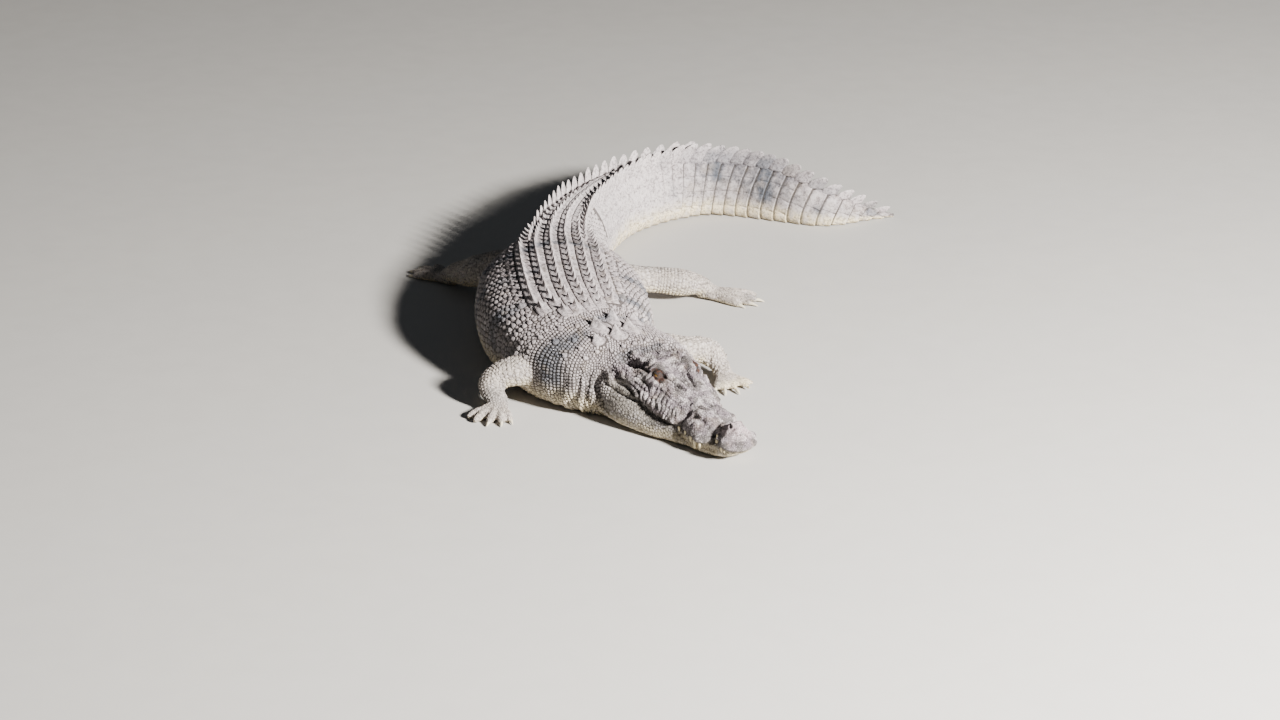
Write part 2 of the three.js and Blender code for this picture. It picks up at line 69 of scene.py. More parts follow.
# ------------------------------------------------------------------ curves and noise
def curve(stations, scale=(1.0, 1.0)):
    """A cubic through the stations that never overshoots them."""
    x, y = (np.array(column, float) * k for column, k in zip(zip(*stations), scale))
    slope = np.diff(y) / np.diff(x)
    tangent = np.zeros(len(x))
    tangent[0] = slope[0]
    tangent[-1] = slope[-1]
    for i in range(1, len(x) - 1):
        before, after = slope[i - 1], slope[i]
        if before * after > 0:
            tangent[i] = 2 * before * after / (before + after)

    def value(at):
        at = np.clip(at, x[0], x[-1])
        i = np.clip(np.searchsorted(x, at, side="right") - 1, 0, len(x) - 2)
        span = x[i + 1] - x[i]
        t = (at - x[i]) / span
        rise = t * t * (3 - 2 * t)
        bend = span * t * (1 - t) * (tangent[i] * (1 - t) - tangent[i + 1] * t)
        return y[i] * (1 - rise) + y[i + 1] * rise + bend

    return value


def mm_curve(stations):
    return curve(stations, (MM, MM))


def smoothstep(low, high, value):
    t = np.clip((value - low) / (high - low), 0, 1)
    return t * t * (3 - 2 * t)


def lattice_noise(points, size, seed=0):
    """Smooth noise from 0 to 1 over points, with features of about one size."""
    p = np.asarray(points, float) / size + 1000.5 + seed * 17.31
    cell = np.floor(p).astype(np.int64)
    f = p - cell
    f = f * f * (3 - 2 * f)
    total = np.zeros(len(p))
    for dx, dy, dz in itertools.product((0, 1), repeat=3):
        n = (cell[:, 0] + dx) * 374761393 + (cell[:, 1] + dy) * 668265263
        n = (n + (cell[:, 2] + dz) * 2147483647 + seed * 974634777) & 0xFFFFFFFF
        n = ((n ^ (n >> 13)) * 1274126177) & 0xFFFFFFFF
        n = (n ^ (n >> 16)) / 0xFFFFFFFF
        weight = np.abs(1 - dx - f[:, 0]) * np.abs(1 - dy - f[:, 1]) * np.abs(1 - dz - f[:, 2])
        total += n * weight
    return total


def unit(vectors):
    return vectors / np.maximum(np.linalg.norm(vectors, axis=-1, keepdims=True), 1e-9)


def crossways(along):
    """The level directions across, and those upwards, for directions along something."""
    across = unit(np.cross([0, 0, 1], along))
    return across, unit(np.cross(along, across))


def circle(count):
    """Angles evenly round a circle."""
    return np.linspace(0, 2 * math.pi, count, endpoint=False)


def tree_of(points):
    tree = KDTree(len(points))
    for i, point in enumerate(points):
        tree.insert(point, i)
    tree.balance()
    return tree


# ------------------------------------------------------------------ the body's stations
spine_heading = curve(
    [
        (0, 116), (50, 116), (207, 139), (320, 119), (450, 98.5), (690, 88.5), (995, 86),
        (1200, 81), (1440, 73.5), (1680, 68), (1905, 61), (2140, 48), (2330, 33), (2495, 13),
        (2640, -13), (2805, -34), (2980, -34), (3095, -11), (3205, 17), (3410, 10),
    ],
    (MM, 1.0),
)
half_width = mm_curve(
    [
        (0, 190), (95, 222), (210, 248), (315, 268), (450, 292), (575, 318), (770, 326),
        (945, 312), (1090, 272), (1270, 205), (1440, 164), (1680, 138), (1910, 106),
        (2200, 85), (2470, 76), (2740, 58), (2970, 41), (3180, 26), (3290, 16), (3410, 6),
    ]
)
top_height = mm_curve(
    [
        (0, 230), (95, 262), (240, 301), (405, 336), (650, 358), (945, 360), (1145, 348),
        (1350, 334), (1660, 312), (1955, 290), (2245, 262), (2620, 234), (2850, 228),
        (2985, 196), (3125, 140), (3260, 78), (3320, 50), (3370, 30), (3410, 15),
    ]
)
waist_height = mm_curve(
    [
        (0, 105), (430, 145), (910, 157), (1260, 140), (1750, 98), (2570, 66), (2980, 50),
        (3260, 33), (3410, 9),
    ]
)
belly_depth = mm_curve([(0, 24), (430, 30), (910, 32), (1260, 26), (1750, 13), (2570, 6), (3410, 2)])
upper_power = curve(
    [(0, 0.8), (430, 0.86), (910, 0.9), (1350, 0.98), (1910, 1.12), (2880, 1.25), (3410, 1.1)],
    (MM, 1.0),
)
# How far the skin lies under the solid: more on the back, where the keels stand up.
back_coat = mm_curve([(0, 6), (60, 8), (180, 16), (400, 24), (1250, 22), (1400, 9), (3410, 2)])
side_coat = mm_curve([(0, 4), (1300, 4), (2600, 3), (3410, 1)])
flap_height = mm_curve(
    [
        (1030, 18), (1340, 36), (1720, 62), (2210, 70), (2600, 67), (2890, 53), (3040, 42),
        (3230, 27), (3380, 12),
    ]
)
crest_spread = mm_curve(
    [(1030, 108), (1350, 92), (1600, 72), (1800, 62), (2000, 46), (2200, 30), (2380, 14), (2510, 0)]
)


def spine_points():
    stations = np.arange(0, SPINE_LENGTH - SPINE_STEP / 2, SPINE_STEP)
    angle = np.radians(spine_heading(stations + SPINE_STEP / 2))
    steps = np.stack([np.cos(angle), np.sin(angle)], 1) * SPINE_STEP
    points = np.vstack([[0, 0], np.cumsum(steps, 0)])
    return points - points[round(BELLY_STATION / SPINE_STEP)]


SPINE = spine_points()
SPINE_TREE = tree_of([(x, y, 0) for x, y in SPINE])


def body_point(s, side, height):
    """The point beside the spine at a distance along it. Side is towards the animal's left."""
    s, side, height = np.broadcast_arrays(np.asarray(s, float), side, height)
    k = np.clip(s / SPINE_STEP, 0, len(SPINE) - 1)
    i = np.clip(np.floor(k).astype(int), 0, len(SPINE) - 2)
    part = (k - i)[..., None]
    spot = SPINE[i] * (1 - part) + SPINE[i + 1] * part
    angle = np.radians(spine_heading(s))
    x = spot[..., 0] + np.sin(angle) * side
    y = spot[..., 1] - np.cos(angle) * side
    return np.stack([x, y, height], -1)


def along_spine(points):
    """Distance along the spine and distance to its left, for points anywhere."""
    near = np.array([SPINE_TREE.find((p[0], p[1], 0))[1] for p in points])
    angle = np.radians(spine_heading(near * SPINE_STEP))
    offset = np.asarray(points)[:, :2] - SPINE[near]
    forward = offset[:, 0] * np.cos(angle) + offset[:, 1] * np.sin(angle)
    side = offset[:, 0] * np.sin(angle) - offset[:, 1] * np.cos(angle)
    return near * SPINE_STEP + forward, side


def section(s, turn):
    """A body section: turn runs from 0 at the middle of the back to pi under the belly."""
    turn = np.asarray(turn, float)
    angle = math.pi / 2 - turn
    up = np.sin(angle) >= 0
    power = np.where(up, upper_power(s), LOWER_POWER)
    crown = 1 - smoothstep(0.7, 1.35, turn)
    coat = side_coat(s) + (back_coat(s) - side_coat(s)) * crown
    across = np.abs(np.cos(angle)) ** power * (half_width(s) - coat)
    reach = np.where(up, top_height(s) - waist_height(s), waist_height(s) + belly_depth(s)) - coat
    height = waist_height(s) + np.sign(np.sin(angle)) * np.abs(np.sin(angle)) ** power * reach
    return across, np.maximum(height, side_coat(s))


TURNS = np.linspace(0, math.pi, 241)
UPPER_HALF = 121  # of the turns, from the middle of the back to the widest point


def girth_table(s):
    """Distances round a section from the middle of the back, with side and height there."""
    return girth_of_millimetre(round(float(s) * 1000))


@functools.lru_cache(maxsize=None)
def girth_of_millimetre(station):
    across, height = section(station * MM, TURNS)
    arc = np.concatenate([[0], np.cumsum(np.hypot(np.diff(across), np.diff(height)))])
    return arc, across, height


def section_at(s, arc):
    """Points of the section at distances from the middle of the back, positive to the left."""
    table, across, height = girth_table(s)
    reach = np.abs(arc)
    side = np.interp(reach, table, across) * np.sign(arc)
    return body_point(s, side, np.interp(reach, table, height))


def half_girth(s):
    return girth_table(s)[0][-1]


# ------------------------------------------------------------------ the head's stations
crown = curve(
    [
        (HEAD_REAR, 0.385), (0.1, 0.39), (0.2, 0.382), (0.3, 0.345), (0.4, 0.305), (0.5, 0.268),
        (0.6, 0.237), (0.7, 0.214), (0.79, 0.19), (0.855, 0.21), (0.91, 0.212), (0.945, 0.19),
        (0.98, 0.128),
    ]
)
brow_width = curve(
    [
        (HEAD_REAR, 0.14), (0.1, 0.118), (0.22, 0.12), (0.32, 0.108), (0.42, 0.084), (0.6, 0.072),
        (0.72, 0.076), (0.79, 0.053), (0.87, 0.068), (0.935, 0.058), (0.98, 0.02),
    ]
)
brow_rise = curve(
    [
        (HEAD_REAR, -0.01), (0.1, 0.004), (0.22, 0.012), (0.32, 0.01), (0.45, 0.004),
        (0.6, -0.006), (1, -0.012),
    ]
)
jaw_width = curve(
    [
        (HEAD_REAR, 0.295), (0.04, 0.276), (0.13, 0.262), (0.26, 0.235), (0.4, 0.2), (0.52, 0.174),
        (0.62, 0.16), (0.69, 0.162), (0.74, 0.148), (0.785, 0.102), (0.83, 0.102), (0.88, 0.117),
        (0.925, 0.11), (0.965, 0.075), (0.98, 0.045),
    ]
)
lip_height = curve(
    [
        (HEAD_REAR, 0.272), (0.06, 0.272), (0.12, 0.26), (0.19, 0.222), (0.27, 0.168), (0.34, 0.14),
        (0.46, 0.122), (0.56, 0.105), (0.64, 0.075), (0.7, 0.064), (0.76, 0.083), (0.8, 0.11),
        (0.84, 0.097), (0.9, 0.083), (1, 0.08),
    ]
)
lower_jaw_width = curve(
    [
        (HEAD_REAR, 0.335), (0.05, 0.333), (0.15, 0.312), (0.3, 0.262), (0.45, 0.208), (0.6, 0.155),
        (0.75, 0.12), (0.86, 0.098), (0.92, 0.07), (0.945, 0.03),
    ]
)
chin_height = curve([(0.76, 0), (0.86, 0.018), (0.935, 0.06)])
HEAD_COAT = 0.004  # depth of the scales on the head, in head lengths

HEAD_ANGLE = math.radians(float(spine_heading(0)))
NAPE = body_point(0, 0, 0)
FORWARD = np.array([-math.cos(HEAD_ANGLE), -math.sin(HEAD_ANGLE), 0])
LEFT = np.array([math.sin(HEAD_ANGLE), -math.cos(HEAD_ANGLE), 0])


def head_point(forward, side, up):
    forward, side, up = np.broadcast_arrays(np.asarray(forward, float), side, up)
    flat = NAPE + forward[..., None] * HEAD_LENGTH * FORWARD + side[..., None] * HEAD_LENGTH * LEFT
    flat[..., 2] = up * HEAD_LENGTH
    return flat


def one_sided(points):
    """A copy of points of the head with its right side laid over its left."""
    laid = points.copy()
    laid[:, 1] = np.abs(laid[:, 1])
    return laid


def head_place(points):
    """Points in head lengths: forward, to the left, and up."""
    offset = (np.asarray(points) - NAPE) / HEAD_LENGTH
    return np.stack([offset @ FORWARD, offset @ LEFT, offset[:, 2]], 1)


# ------------------------------------------------------------------ the limbs' joints
FORE_FOOT = {
    "pad": 82, "pad_width": (34, 41, 47, 36), "pad_height": (31, 26, 20, 15),
    "digits": [(32, 32, 66, 26), (15, 18, 84, 28), (-3, 1, 90, 26), (-25, -17, 92, 0), (-48, -30, 76, 0)],
}
HIND_FOOT = {
    "pad": 126, "pad_width": (38, 46, 52, 41), "pad_height": (33, 28, 21, 15),
    "digits": [(16, 34, 78, 30), (6, 12, 110, 34), (-8, -10, 118, 32), (-24, -33, 102, 0)],
}
LIMBS = {
    "foreleg_right": {
        "parts": ("upper_arm", "forearm"),
        "joints": [
            (-81, -630, 140, 82, 74), (-205, -698, 124, 70, 60), (-290, -694, 107, 59, 53),
            (-330, -712, 82, 51, 47), (-332, -746, 56, 45, 40), (-312, -780, 36, 39, 31),
        ],
        "shape": FORE_FOOT, "ankle": (-312, -780), "heading": 250, "turn": 1,
    },
    "foreleg_left": {
        "parts": ("upper_arm", "forearm"),
        "joints": [
            (134, -566, 144, 82, 74), (295, -564, 129, 69, 58), (406, -550, 115, 58, 50),
            (478, -535, 96, 50, 47), (516, -556, 63, 44, 40), (529, -592, 38, 39, 31),
        ],
        "shape": FORE_FOOT, "ankle": (529, -592), "heading": 282, "turn": -1,
    },
    "hindleg_right": {
        "parts": ("thigh", "shank"),
        "joints": [
            (-53, 240, 148, 102, 86), (-170, 327, 140, 93, 79), (-255, 399, 115, 82, 68),
            (-308, 473, 83, 61, 54), (-344, 547, 56, 46, 40), (-362, 580, 40, 41, 32),
        ],
        "shape": HIND_FOOT, "ankle": (-362, 580), "heading": 127, "turn": 1,
    },
    "hindleg_left": {
        "parts": ("thigh", "shank"),
        "joints": [
            (72, 174, 148, 102, 86), (260, 237, 113, 78, 67), (397, 268, 91, 60, 50),
            (501, 262, 77, 61, 52), (573, 279, 60, 46, 40), (612, 282, 42, 41, 32),
        ],
        "shape": HIND_FOOT, "ankle": (612, 282), "heading": 331, "turn": -1,
    },
}


class Tube:
    """A round length through joints, each (x, y, z, half width, half height) in mm."""

    def __init__(self, joints, coat=0.0):
        table = np.array(joints, float) * MM
        self.points = table[:, :3]
        last = len(joints) - 1
        share = np.arange(last + 1) / last
        self.wide = curve(list(zip(share, table[:, 3] - coat)))
        self.tall = curve(list(zip(share, table[:, 4] - coat)))
        self.length = float(np.linalg.norm(np.diff(self.points, axis=0), axis=1).sum())

    def centre(self, t):
        """Centripetal spline through the joints, for t from 0 to 1."""
        t = np.atleast_1d(np.asarray(t, float))
        p = self.points
        ends = np.vstack([2 * p[0] - p[1], p, 2 * p[-1] - p[-2]])
        k = np.clip(t, 0, 1) * (len(p) - 1)
        i = np.clip(np.floor(k).astype(int), 0, len(p) - 2)
        u = (k - i)[:, None]
        a, b, c, d = ends[i], ends[i + 1], ends[i + 2], ends[i + 3]
        spans = (np.linalg.norm(q - r, axis=1) for q, r in ((a, b), (b, c), (c, d)))
        gap = [np.maximum(span, 1e-9)[:, None] ** 0.5 for span in spans]
        out = ((b - a) / gap[0] - (c - a) / (gap[0] + gap[1]) + (c - b) / gap[1]) * gap[1]
        come = ((c - b) / gap[1] - (d - b) / (gap[1] + gap[2]) + (d - c) / gap[2]) * gap[1]
        return b + u * out + u**2 * (3 * (c - b) - 2 * out - come) + u**3 * (2 * (b - c) + out + come)

    def along(self, t):
        t = np.atleast_1d(np.asarray(t, float))
        step = 1e-3
        return unit(self.centre(np.minimum(t + step, 1)) - self.centre(np.maximum(t - step, 0)))

    def surface(self, t, turn, floor=0.0):
        """Points round the tube: turn is 0 on its top."""
        t, turn = (np.asarray(a, float).ravel() for a in np.broadcast_arrays(t, turn))
        along = self.along(t)
        across, up = crossways(along)
        point = self.centre(t)
        point = point + across * (np.sin(turn) * self.wide(t))[:, None]
        point = point + up * (np.cos(turn) * self.tall(t))[:, None]
        point[:, 2] = np.maximum(point[:, 2], floor)
        return point, along


LIMB_COAT = 0.003
PAD_SHARES = (-0.25, 0.12, 0.3, 0.44)  # where the pad's joints lie, in lengths of the pad
DIGIT_COAT = -0.003  # the digits are fuller than their solids, to allow for smoothing
DIGIT_ROOT = (23, 15, 19)  # height, half width and half height in mm where a digit leaves the pad
DIGIT_JOINTS = ((0.3, 18.5, 11.5, 17.5), (0.55, 16.5, 11, 16), (0.8, 13.5, 10, 13), (1, 9, 8, 8.5))
DIGIT_START = 0.45  # from the ankle to where the digit leaves the pad's edge


def direction_of(limb, angle):
    turned = math.radians(limb["heading"] + limb["turn"] * angle)
    return np.array([math.cos(turned), math.sin(turned), 0])


def digit_roots(limb):
    """Each digit's root, direction, length and claw length, in mm."""
    ankle = np.array([*limb["ankle"], 0.0])
    for angle, offset, length, claw in limb["shape"]["digits"]:
        root = ankle + direction_of(limb, 0) * limb["shape"]["pad"] * 0.6 + direction_of(limb, 90) * offset
        yield root, direction_of(limb, angle), length, claw


def foot_tubes(limb):
    """The pad first, then the digits."""
    shape = limb["shape"]
    ankle = np.array([*limb["ankle"], 0.0])
    joints = []
    for part, wide, tall in zip(PAD_SHARES, shape["pad_width"], shape["pad_height"]):
        spot = ankle + direction_of(limb, 0) * part * shape["pad"]
        joints.append((spot[0], spot[1], tall, wide * (1 - 0.4 * max(part, 0)), tall * 1.08))
    tubes = [Tube(joints, LIMB_COAT)]
    for root, direction, length, _ in digit_roots(limb):
        joints = []
        start = ankle + (root - ankle) * DIGIT_START
        joints.append((start[0], start[1], *DIGIT_ROOT))
        for part, height, wide, tall in DIGIT_JOINTS:
            spot = root + direction * part * length
            joints.append((spot[0], spot[1], height, wide, tall))
        tubes.append(Tube(joints, DIGIT_COAT))
    return tubes


# ------------------------------------------------------------------ meshes
def add_object(name, data):
    item = bpy.data.objects.new(name, data)
    bpy.context.scene.collection.objects.link(item)
    return item


def new_mesh(name, vertices, faces, smooth=True):
    mesh = bpy.data.meshes.new(name)
    mesh.from_pydata(np.asarray(vertices).tolist(), [], [list(map(int, f)) for f in faces])
    mesh.update()
    if smooth:
        mesh.shade_smooth()
    return add_object(name, mesh)


def quad_mesh(name, vertices, loops, sizes):
    """A mesh from one flat list of corners and the number of corners of each face."""
    mesh = bpy.data.meshes.new(name)
    mesh.vertices.add(len(vertices))
    mesh.vertices.foreach_set("co", np.asarray(vertices, np.float32).ravel())
    mesh.loops.add(len(loops))
    mesh.loops.foreach_set("vertex_index", np.asarray(loops, np.int32))
    mesh.polygons.add(len(sizes))
    starts = np.concatenate([[0], np.cumsum(sizes)[:-1]])
    mesh.polygons.foreach_set("loop_start", starts.astype(np.int32))
    mesh.update(calc_edges=True)
    mesh.validate()
    mesh.shade_smooth()
    return add_object(name, mesh)


def vertex_vectors(mesh, name):
    vectors = np.empty(len(mesh.vertices) * 3)
    mesh.vertices.foreach_get(name, vectors)
    return vectors.reshape(-1, 3)


def positions(mesh):
    return vertex_vectors(mesh, "co")


def normals(mesh):
    mesh.update()
    return vertex_vectors(mesh, "normal")


def move_to(mesh, co):
    mesh.vertices.foreach_set("co", co.ravel())
    mesh.update()


def edge_ends(mesh):
    ends = np.empty(len(mesh.edges) * 2, np.int32)
    mesh.edges.foreach_get("vertices", ends)
    return ends.reshape(-1, 2)


def relaxed(co, ends, weight, rounds):
    """Laplacian smoothing, by a weight for each vertex."""
    count = np.bincount(ends.ravel(), minlength=len(co)).astype(float)
    count = np.maximum(count, 1)[:, None]
    for _ in range(rounds):
        total = np.zeros_like(co)
        for axis in range(3):
            total[:, axis] = np.bincount(ends[:, 0], co[ends[:, 1], axis], len(co))
            total[:, axis] += np.bincount(ends[:, 1], co[ends[:, 0], axis], len(co))
        co = co + (total / count - co) * weight[:, None]
    return co


def ring_quads(count, size):
    """Faces between neighbouring rings, each with the same number of points."""
    quads = []
    for r in range(count - 1):
        for i in range(size):
            j = (i + 1) % size
            quads.append((r * size + i, r * size + j, (r + 1) * size + j, (r + 1) * size + i))
    return quads


def loft_parts(rings):
    """Vertices and faces of a closed loft through rings of equal size."""
    rings = np.asarray(rings)
    count, size = rings.shape[:2]
    vertices = list(rings.reshape(-1, 3))
    faces = ring_quads(count, size)
    for r, order in ((0, -1), (count - 1, 1)):
        vertices.append(rings[r].mean(0))
        hub = len(vertices) - 1
        for i in range(size):
            j = (i + 1) % size
            faces.append((hub, r * size + i, r * size + j)[::order])
    return vertices, faces


def add_loft(vertices, faces, rings):
    """Adds a closed loft to lists of vertices and faces, and returns how many vertices it has."""
    points, around = loft_parts(rings)
    faces.extend([[i + len(vertices) for i in face] for face in around])
    vertices.extend(points)
    return len(points)


def face_outwards(mesh):
    bm = bmesh.new()
    bm.from_mesh(mesh)
    bmesh.ops.recalc_face_normals(bm, faces=bm.faces)
    bm.to_mesh(mesh)
    bm.free()


def bake_map(mesh, uv):
    """The map on which each scale is a small patch at its root's place."""
    corners = np.empty(len(mesh.loops), np.int32)
    mesh.loops.foreach_get("vertex_index", corners)
    layer = mesh.uv_layers.new(name="OFBake")
    layer.data.foreach_set("uv", np.asarray(uv)[corners].astype(np.float32).ravel())


def float_attribute(mesh, name, values):
    layer = mesh.attributes.new(name, "FLOAT", "POINT")
    layer.data.foreach_set("value", np.asarray(values, np.float32))


def colour_attribute(mesh, name, colours):
    layer = mesh.attributes.new(name, "FLOAT_COLOR", "POINT")
    rgba = np.ones((len(colours), 4), np.float32)
    rgba[:, :3] = colours
    layer.data.foreach_set("color", rgba.ravel())


# ------------------------------------------------------------------ where a point is
BODY, HEAD, LEG, FOOT = 0, 1, 2, 3


def tube_place(tube, points):
    """Share of the tube's length, distance out in tube radii, and turn round it."""
    stations = np.linspace(0, 1, 41)
    centre = tube.centre(stations)
    near = np.linalg.norm(points[:, None] - centre, axis=2).argmin(1)
    t = stations[near]
    along = tube.along(t)
    across, up = crossways(along)
    offset = points - centre[near]
    x = (offset * across).sum(1)
    y = (offset * up).sum(1)
    beyond = (offset * along).sum(1)
    ratio = np.sqrt((x / tube.wide(t)) ** 2 + (y / tube.tall(t)) ** 2 + (beyond / tube.wide(t)) ** 2)
    return t, ratio, np.arctan2(x, y)


def all_tubes():
    """Every tube of the four limbs, with its region and its limb's number."""
    found = []
    for number, limb in enumerate(LIMBS.values()):
        found.append((Tube(limb["joints"], LIMB_COAT), LEG, number))
        for tube in foot_tubes(limb):
            found.append((tube, FOOT, number))
    return found


class Place:
    """What part of the animal each point is on, and where on that part."""

    def __init__(self, points):
        points = np.asarray(points, float)
        self.points = points
        self.s, self.side = along_spine(points)
        self.head = head_place(points)
        inside = np.clip(self.s, 0.02, SPINE_LENGTH - 0.002)
        drop = points[:, 2] - waist_height(inside)
        reach = np.where(drop > 0, top_height(inside) - waist_height(inside), waist_height(inside))
        ratio = np.sqrt((self.side / half_width(inside)) ** 2 + (drop / reach) ** 2)
        self.level = points[:, 2] / top_height(inside)
        self.region = np.where(self.head[:, 0] > -0.03, HEAD, BODY)
        self.limb = np.full(len(points), -1)
        self.t = np.zeros(len(points))
        self.turn = np.zeros(len(points))
        self.tube = np.full(len(points), -1)
        for index, (tube, region, number) in enumerate(all_tubes()):
            low = tube.points.min(0) - 0.13
            high = tube.points.max(0) + 0.13
            near = np.nonzero(((points > low) & (points < high)).all(1))[0]
            if not len(near):
                continue
            t, reached, turn = tube_place(tube, points[near])
            closer = (reached < ratio[near] * 1.02) & (self.head[near, 0] < -0.02)
            chosen = near[closer]
            ratio[chosen] = reached[closer]
            self.region[chosen] = region
            self.limb[chosen] = number
            self.t[chosen] = t[closer]
            self.turn[chosen] = turn[closer]
            self.tube[chosen] = index


# ------------------------------------------------------------------ colours
def srgb(text):
    """A linear colour from six hexadecimal digits."""
    parts = [int(text[i : i + 2], 16) / 255 for i in (0, 2, 4)]
    return tuple(p / 12.92 if p <= 0.04045 else ((p + 0.055) / 1.055) ** 2.4 for p in parts)


def blend(base, other, share):
    return base + (np.asarray(other) - base) * np.asarray(share)[:, None]


BAND_PITCH = 0.235  # from one dark band to the next along the spine


def hide_tint(colours, place):
    """The hide's colour at each point: the same on the skin and on its scales, with painted shade in the
    head's creases.
    """
    p = place.points
    patches = lattice_noise(p, 0.16, 1) * 0.6 + lattice_noise(p, 0.07, 2) * 0.4
    spots = lattice_noise(p, 0.035, 3) * 0.6 + lattice_noise(p, 0.018, 4) * 0.4
    tint = np.tile(np.array(colours.back), (len(p), 1))
    tint = blend(tint, colours.flank, 1 - smoothstep(0.55, 0.85, place.level))
    # Uneven dark bands across the tail and flanks, broken up by noise.
    wave = np.sin(2 * math.pi * (place.s / BAND_PITCH + 0.25 * lattice_noise(p, 0.2, 5)))
    band = smoothstep(0.35, 0.95, wave) * smoothstep(0.35, 0.6, patches) * smoothstep(0.2, 0.45, place.level)
    band = band * np.where(place.region == BODY, 1.0, 0.0)
    tint = blend(tint, colours.band, band * 0.85)
    rear = smoothstep(2.3, 2.6, place.s) * (1 - smoothstep(2.9, 3.1, place.s))
    rear = rear * smoothstep(0.3, 0.5, place.level)
    tint = blend(tint, colours.band, rear * smoothstep(0.42, 0.62, patches) * 0.6 * (place.region == BODY))
    tint = blend(tint, colours.brown, smoothstep(0.55, 0.8, spots) * 0.35)
    bleached = smoothstep(1.0, 1.4, place.s) * (1 - smoothstep(2.2, 2.6, place.s)) * (place.region == BODY)
    tint = blend(tint, colours.dust_and_highlight, bleached * 0.8)
    cream = 1 - smoothstep(0.14, 0.42, place.level + 0.12 * (patches - 0.5))
    tint = blend(tint, colours.belly, np.where(place.region == BODY, cream, 0.0))
    legs = place.region >= LEG
    under = smoothstep(1.5, 2.4, np.abs(place.turn))
    leg = blend(np.tile(np.array(colours.leg), (len(p), 1)), colours.belly, under * 0.85)
    leg = blend(leg, colours.band, smoothstep(0.55, 0.75, patches) * 0.4 * (1 - under))
    tint[legs] = leg[legs]
    f, u = place.head[:, 0], place.head[:, 2]
    face = np.tile(np.array(colours.face), (len(p), 1))
    face = blend(face, colours.brown, smoothstep(0.45, 0.75, spots) * 0.4)
    face = blend(face, colours.smudge, smoothstep(0.46, 0.66, lattice_noise(p, 0.028, 7)) * 0.65)
    face = blend(face, colours.dust_and_highlight, smoothstep(0.55, 0.75, lattice_noise(p, 0.02, 9)) * 0.6)
    low = 1 - smoothstep(-0.035, 0.03, u - lip_height(f) - 0.01)
    face = blend(face, colours.jaw, low)
    face = blend(face, colours.smudge, low * smoothstep(0.46, 0.62, patches) * 0.8)
    face = blend(face, colours.belly, 1 - smoothstep(0.03, 0.1, u))
    near_nose = np.clip(1 - np.linalg.norm(place.head - NOSE, axis=1) / 0.11, 0, 1) ** 0.5
    face = blend(face, colours.nose, near_nose)
    mottle = smoothstep(0.4, 0.62, lattice_noise(p, 0.006, 8))
    for side in (1, -1):
        offset = place.head - EYE_PLACE * (1, side, 1)
        gap = np.linalg.norm(offset, axis=1)
        slit = (offset * (1, side, 1)) @ eye_axes()[0]
        gap = np.sqrt(np.maximum(gap**2 - 0.72 * slit**2, 0))
        # Eyelids: their own dark brown, darkened towards black as painted shade in the slit of the lids.
        lidded = (1 - smoothstep(0.034, 0.044, gap)) * (1 - smoothstep(0.052, 0.068, np.abs(slit)))
        face = blend(face, colours.lid, lidded * (0.9 + 0.1 * spots))
        face = blend(face, colours.lid_warm, lidded * mottle * 0.6)
    share = smoothstep(-0.12, 0.02, f)
    near = f > -0.16
    _, crease, _ = head_forms(place.head[near])
    shown = blend(tint[near], face[near], share[near])
    # Painted shade in the head's folds and ear hollows, along the mouth line and in the nostrils.
    tint[near] = blend(shown, colours.crease, 0.93 * crease)
    return np.clip(tint * (0.86 + 0.28 * lattice_noise(p, 0.011, 6))[:, None], 0, 1)


# ------------------------------------------------------------------ the head's forms
EYE_PLACE = np.array([0.25, 0.122, 0.345])
EYE_SIZE = 0.019 / HEAD_LENGTH
EYE_GAZE = unit(np.array([0.12, 0.9, 0.42]))
NOSE = np.array([0.885, 0.0, 0.215])
NOSTRIL = np.array([0.872, 0.036, 0.214])


def falloff(distance, radius):
    return np.clip(1 - (distance / radius) ** 2, 0, 1) ** 2


def path_distance(points, path):
    """Distance to a path, and the share of the path's length that is nearest."""
    best = np.full(len(points), 1e9)
    where = np.zeros(len(points))
    for i in range(len(path) - 1):
        start, stride = path[i], path[i + 1] - path[i]
        t = np.clip(((points - start) @ stride) / (stride @ stride), 0, 1)
        gap = np.linalg.norm(points - start - t[:, None] * stride, axis=1)
        closer = gap < best
        best[closer] = gap[closer]
        where[closer] = (i + t[closer]) / (len(path) - 1)
    return best, where


def mouth_path():
    forward = np.linspace(0.07, 0.965, 60)
    return np.stack([forward, jaw_width(forward) * 0.975, lip_height(forward)], 1)


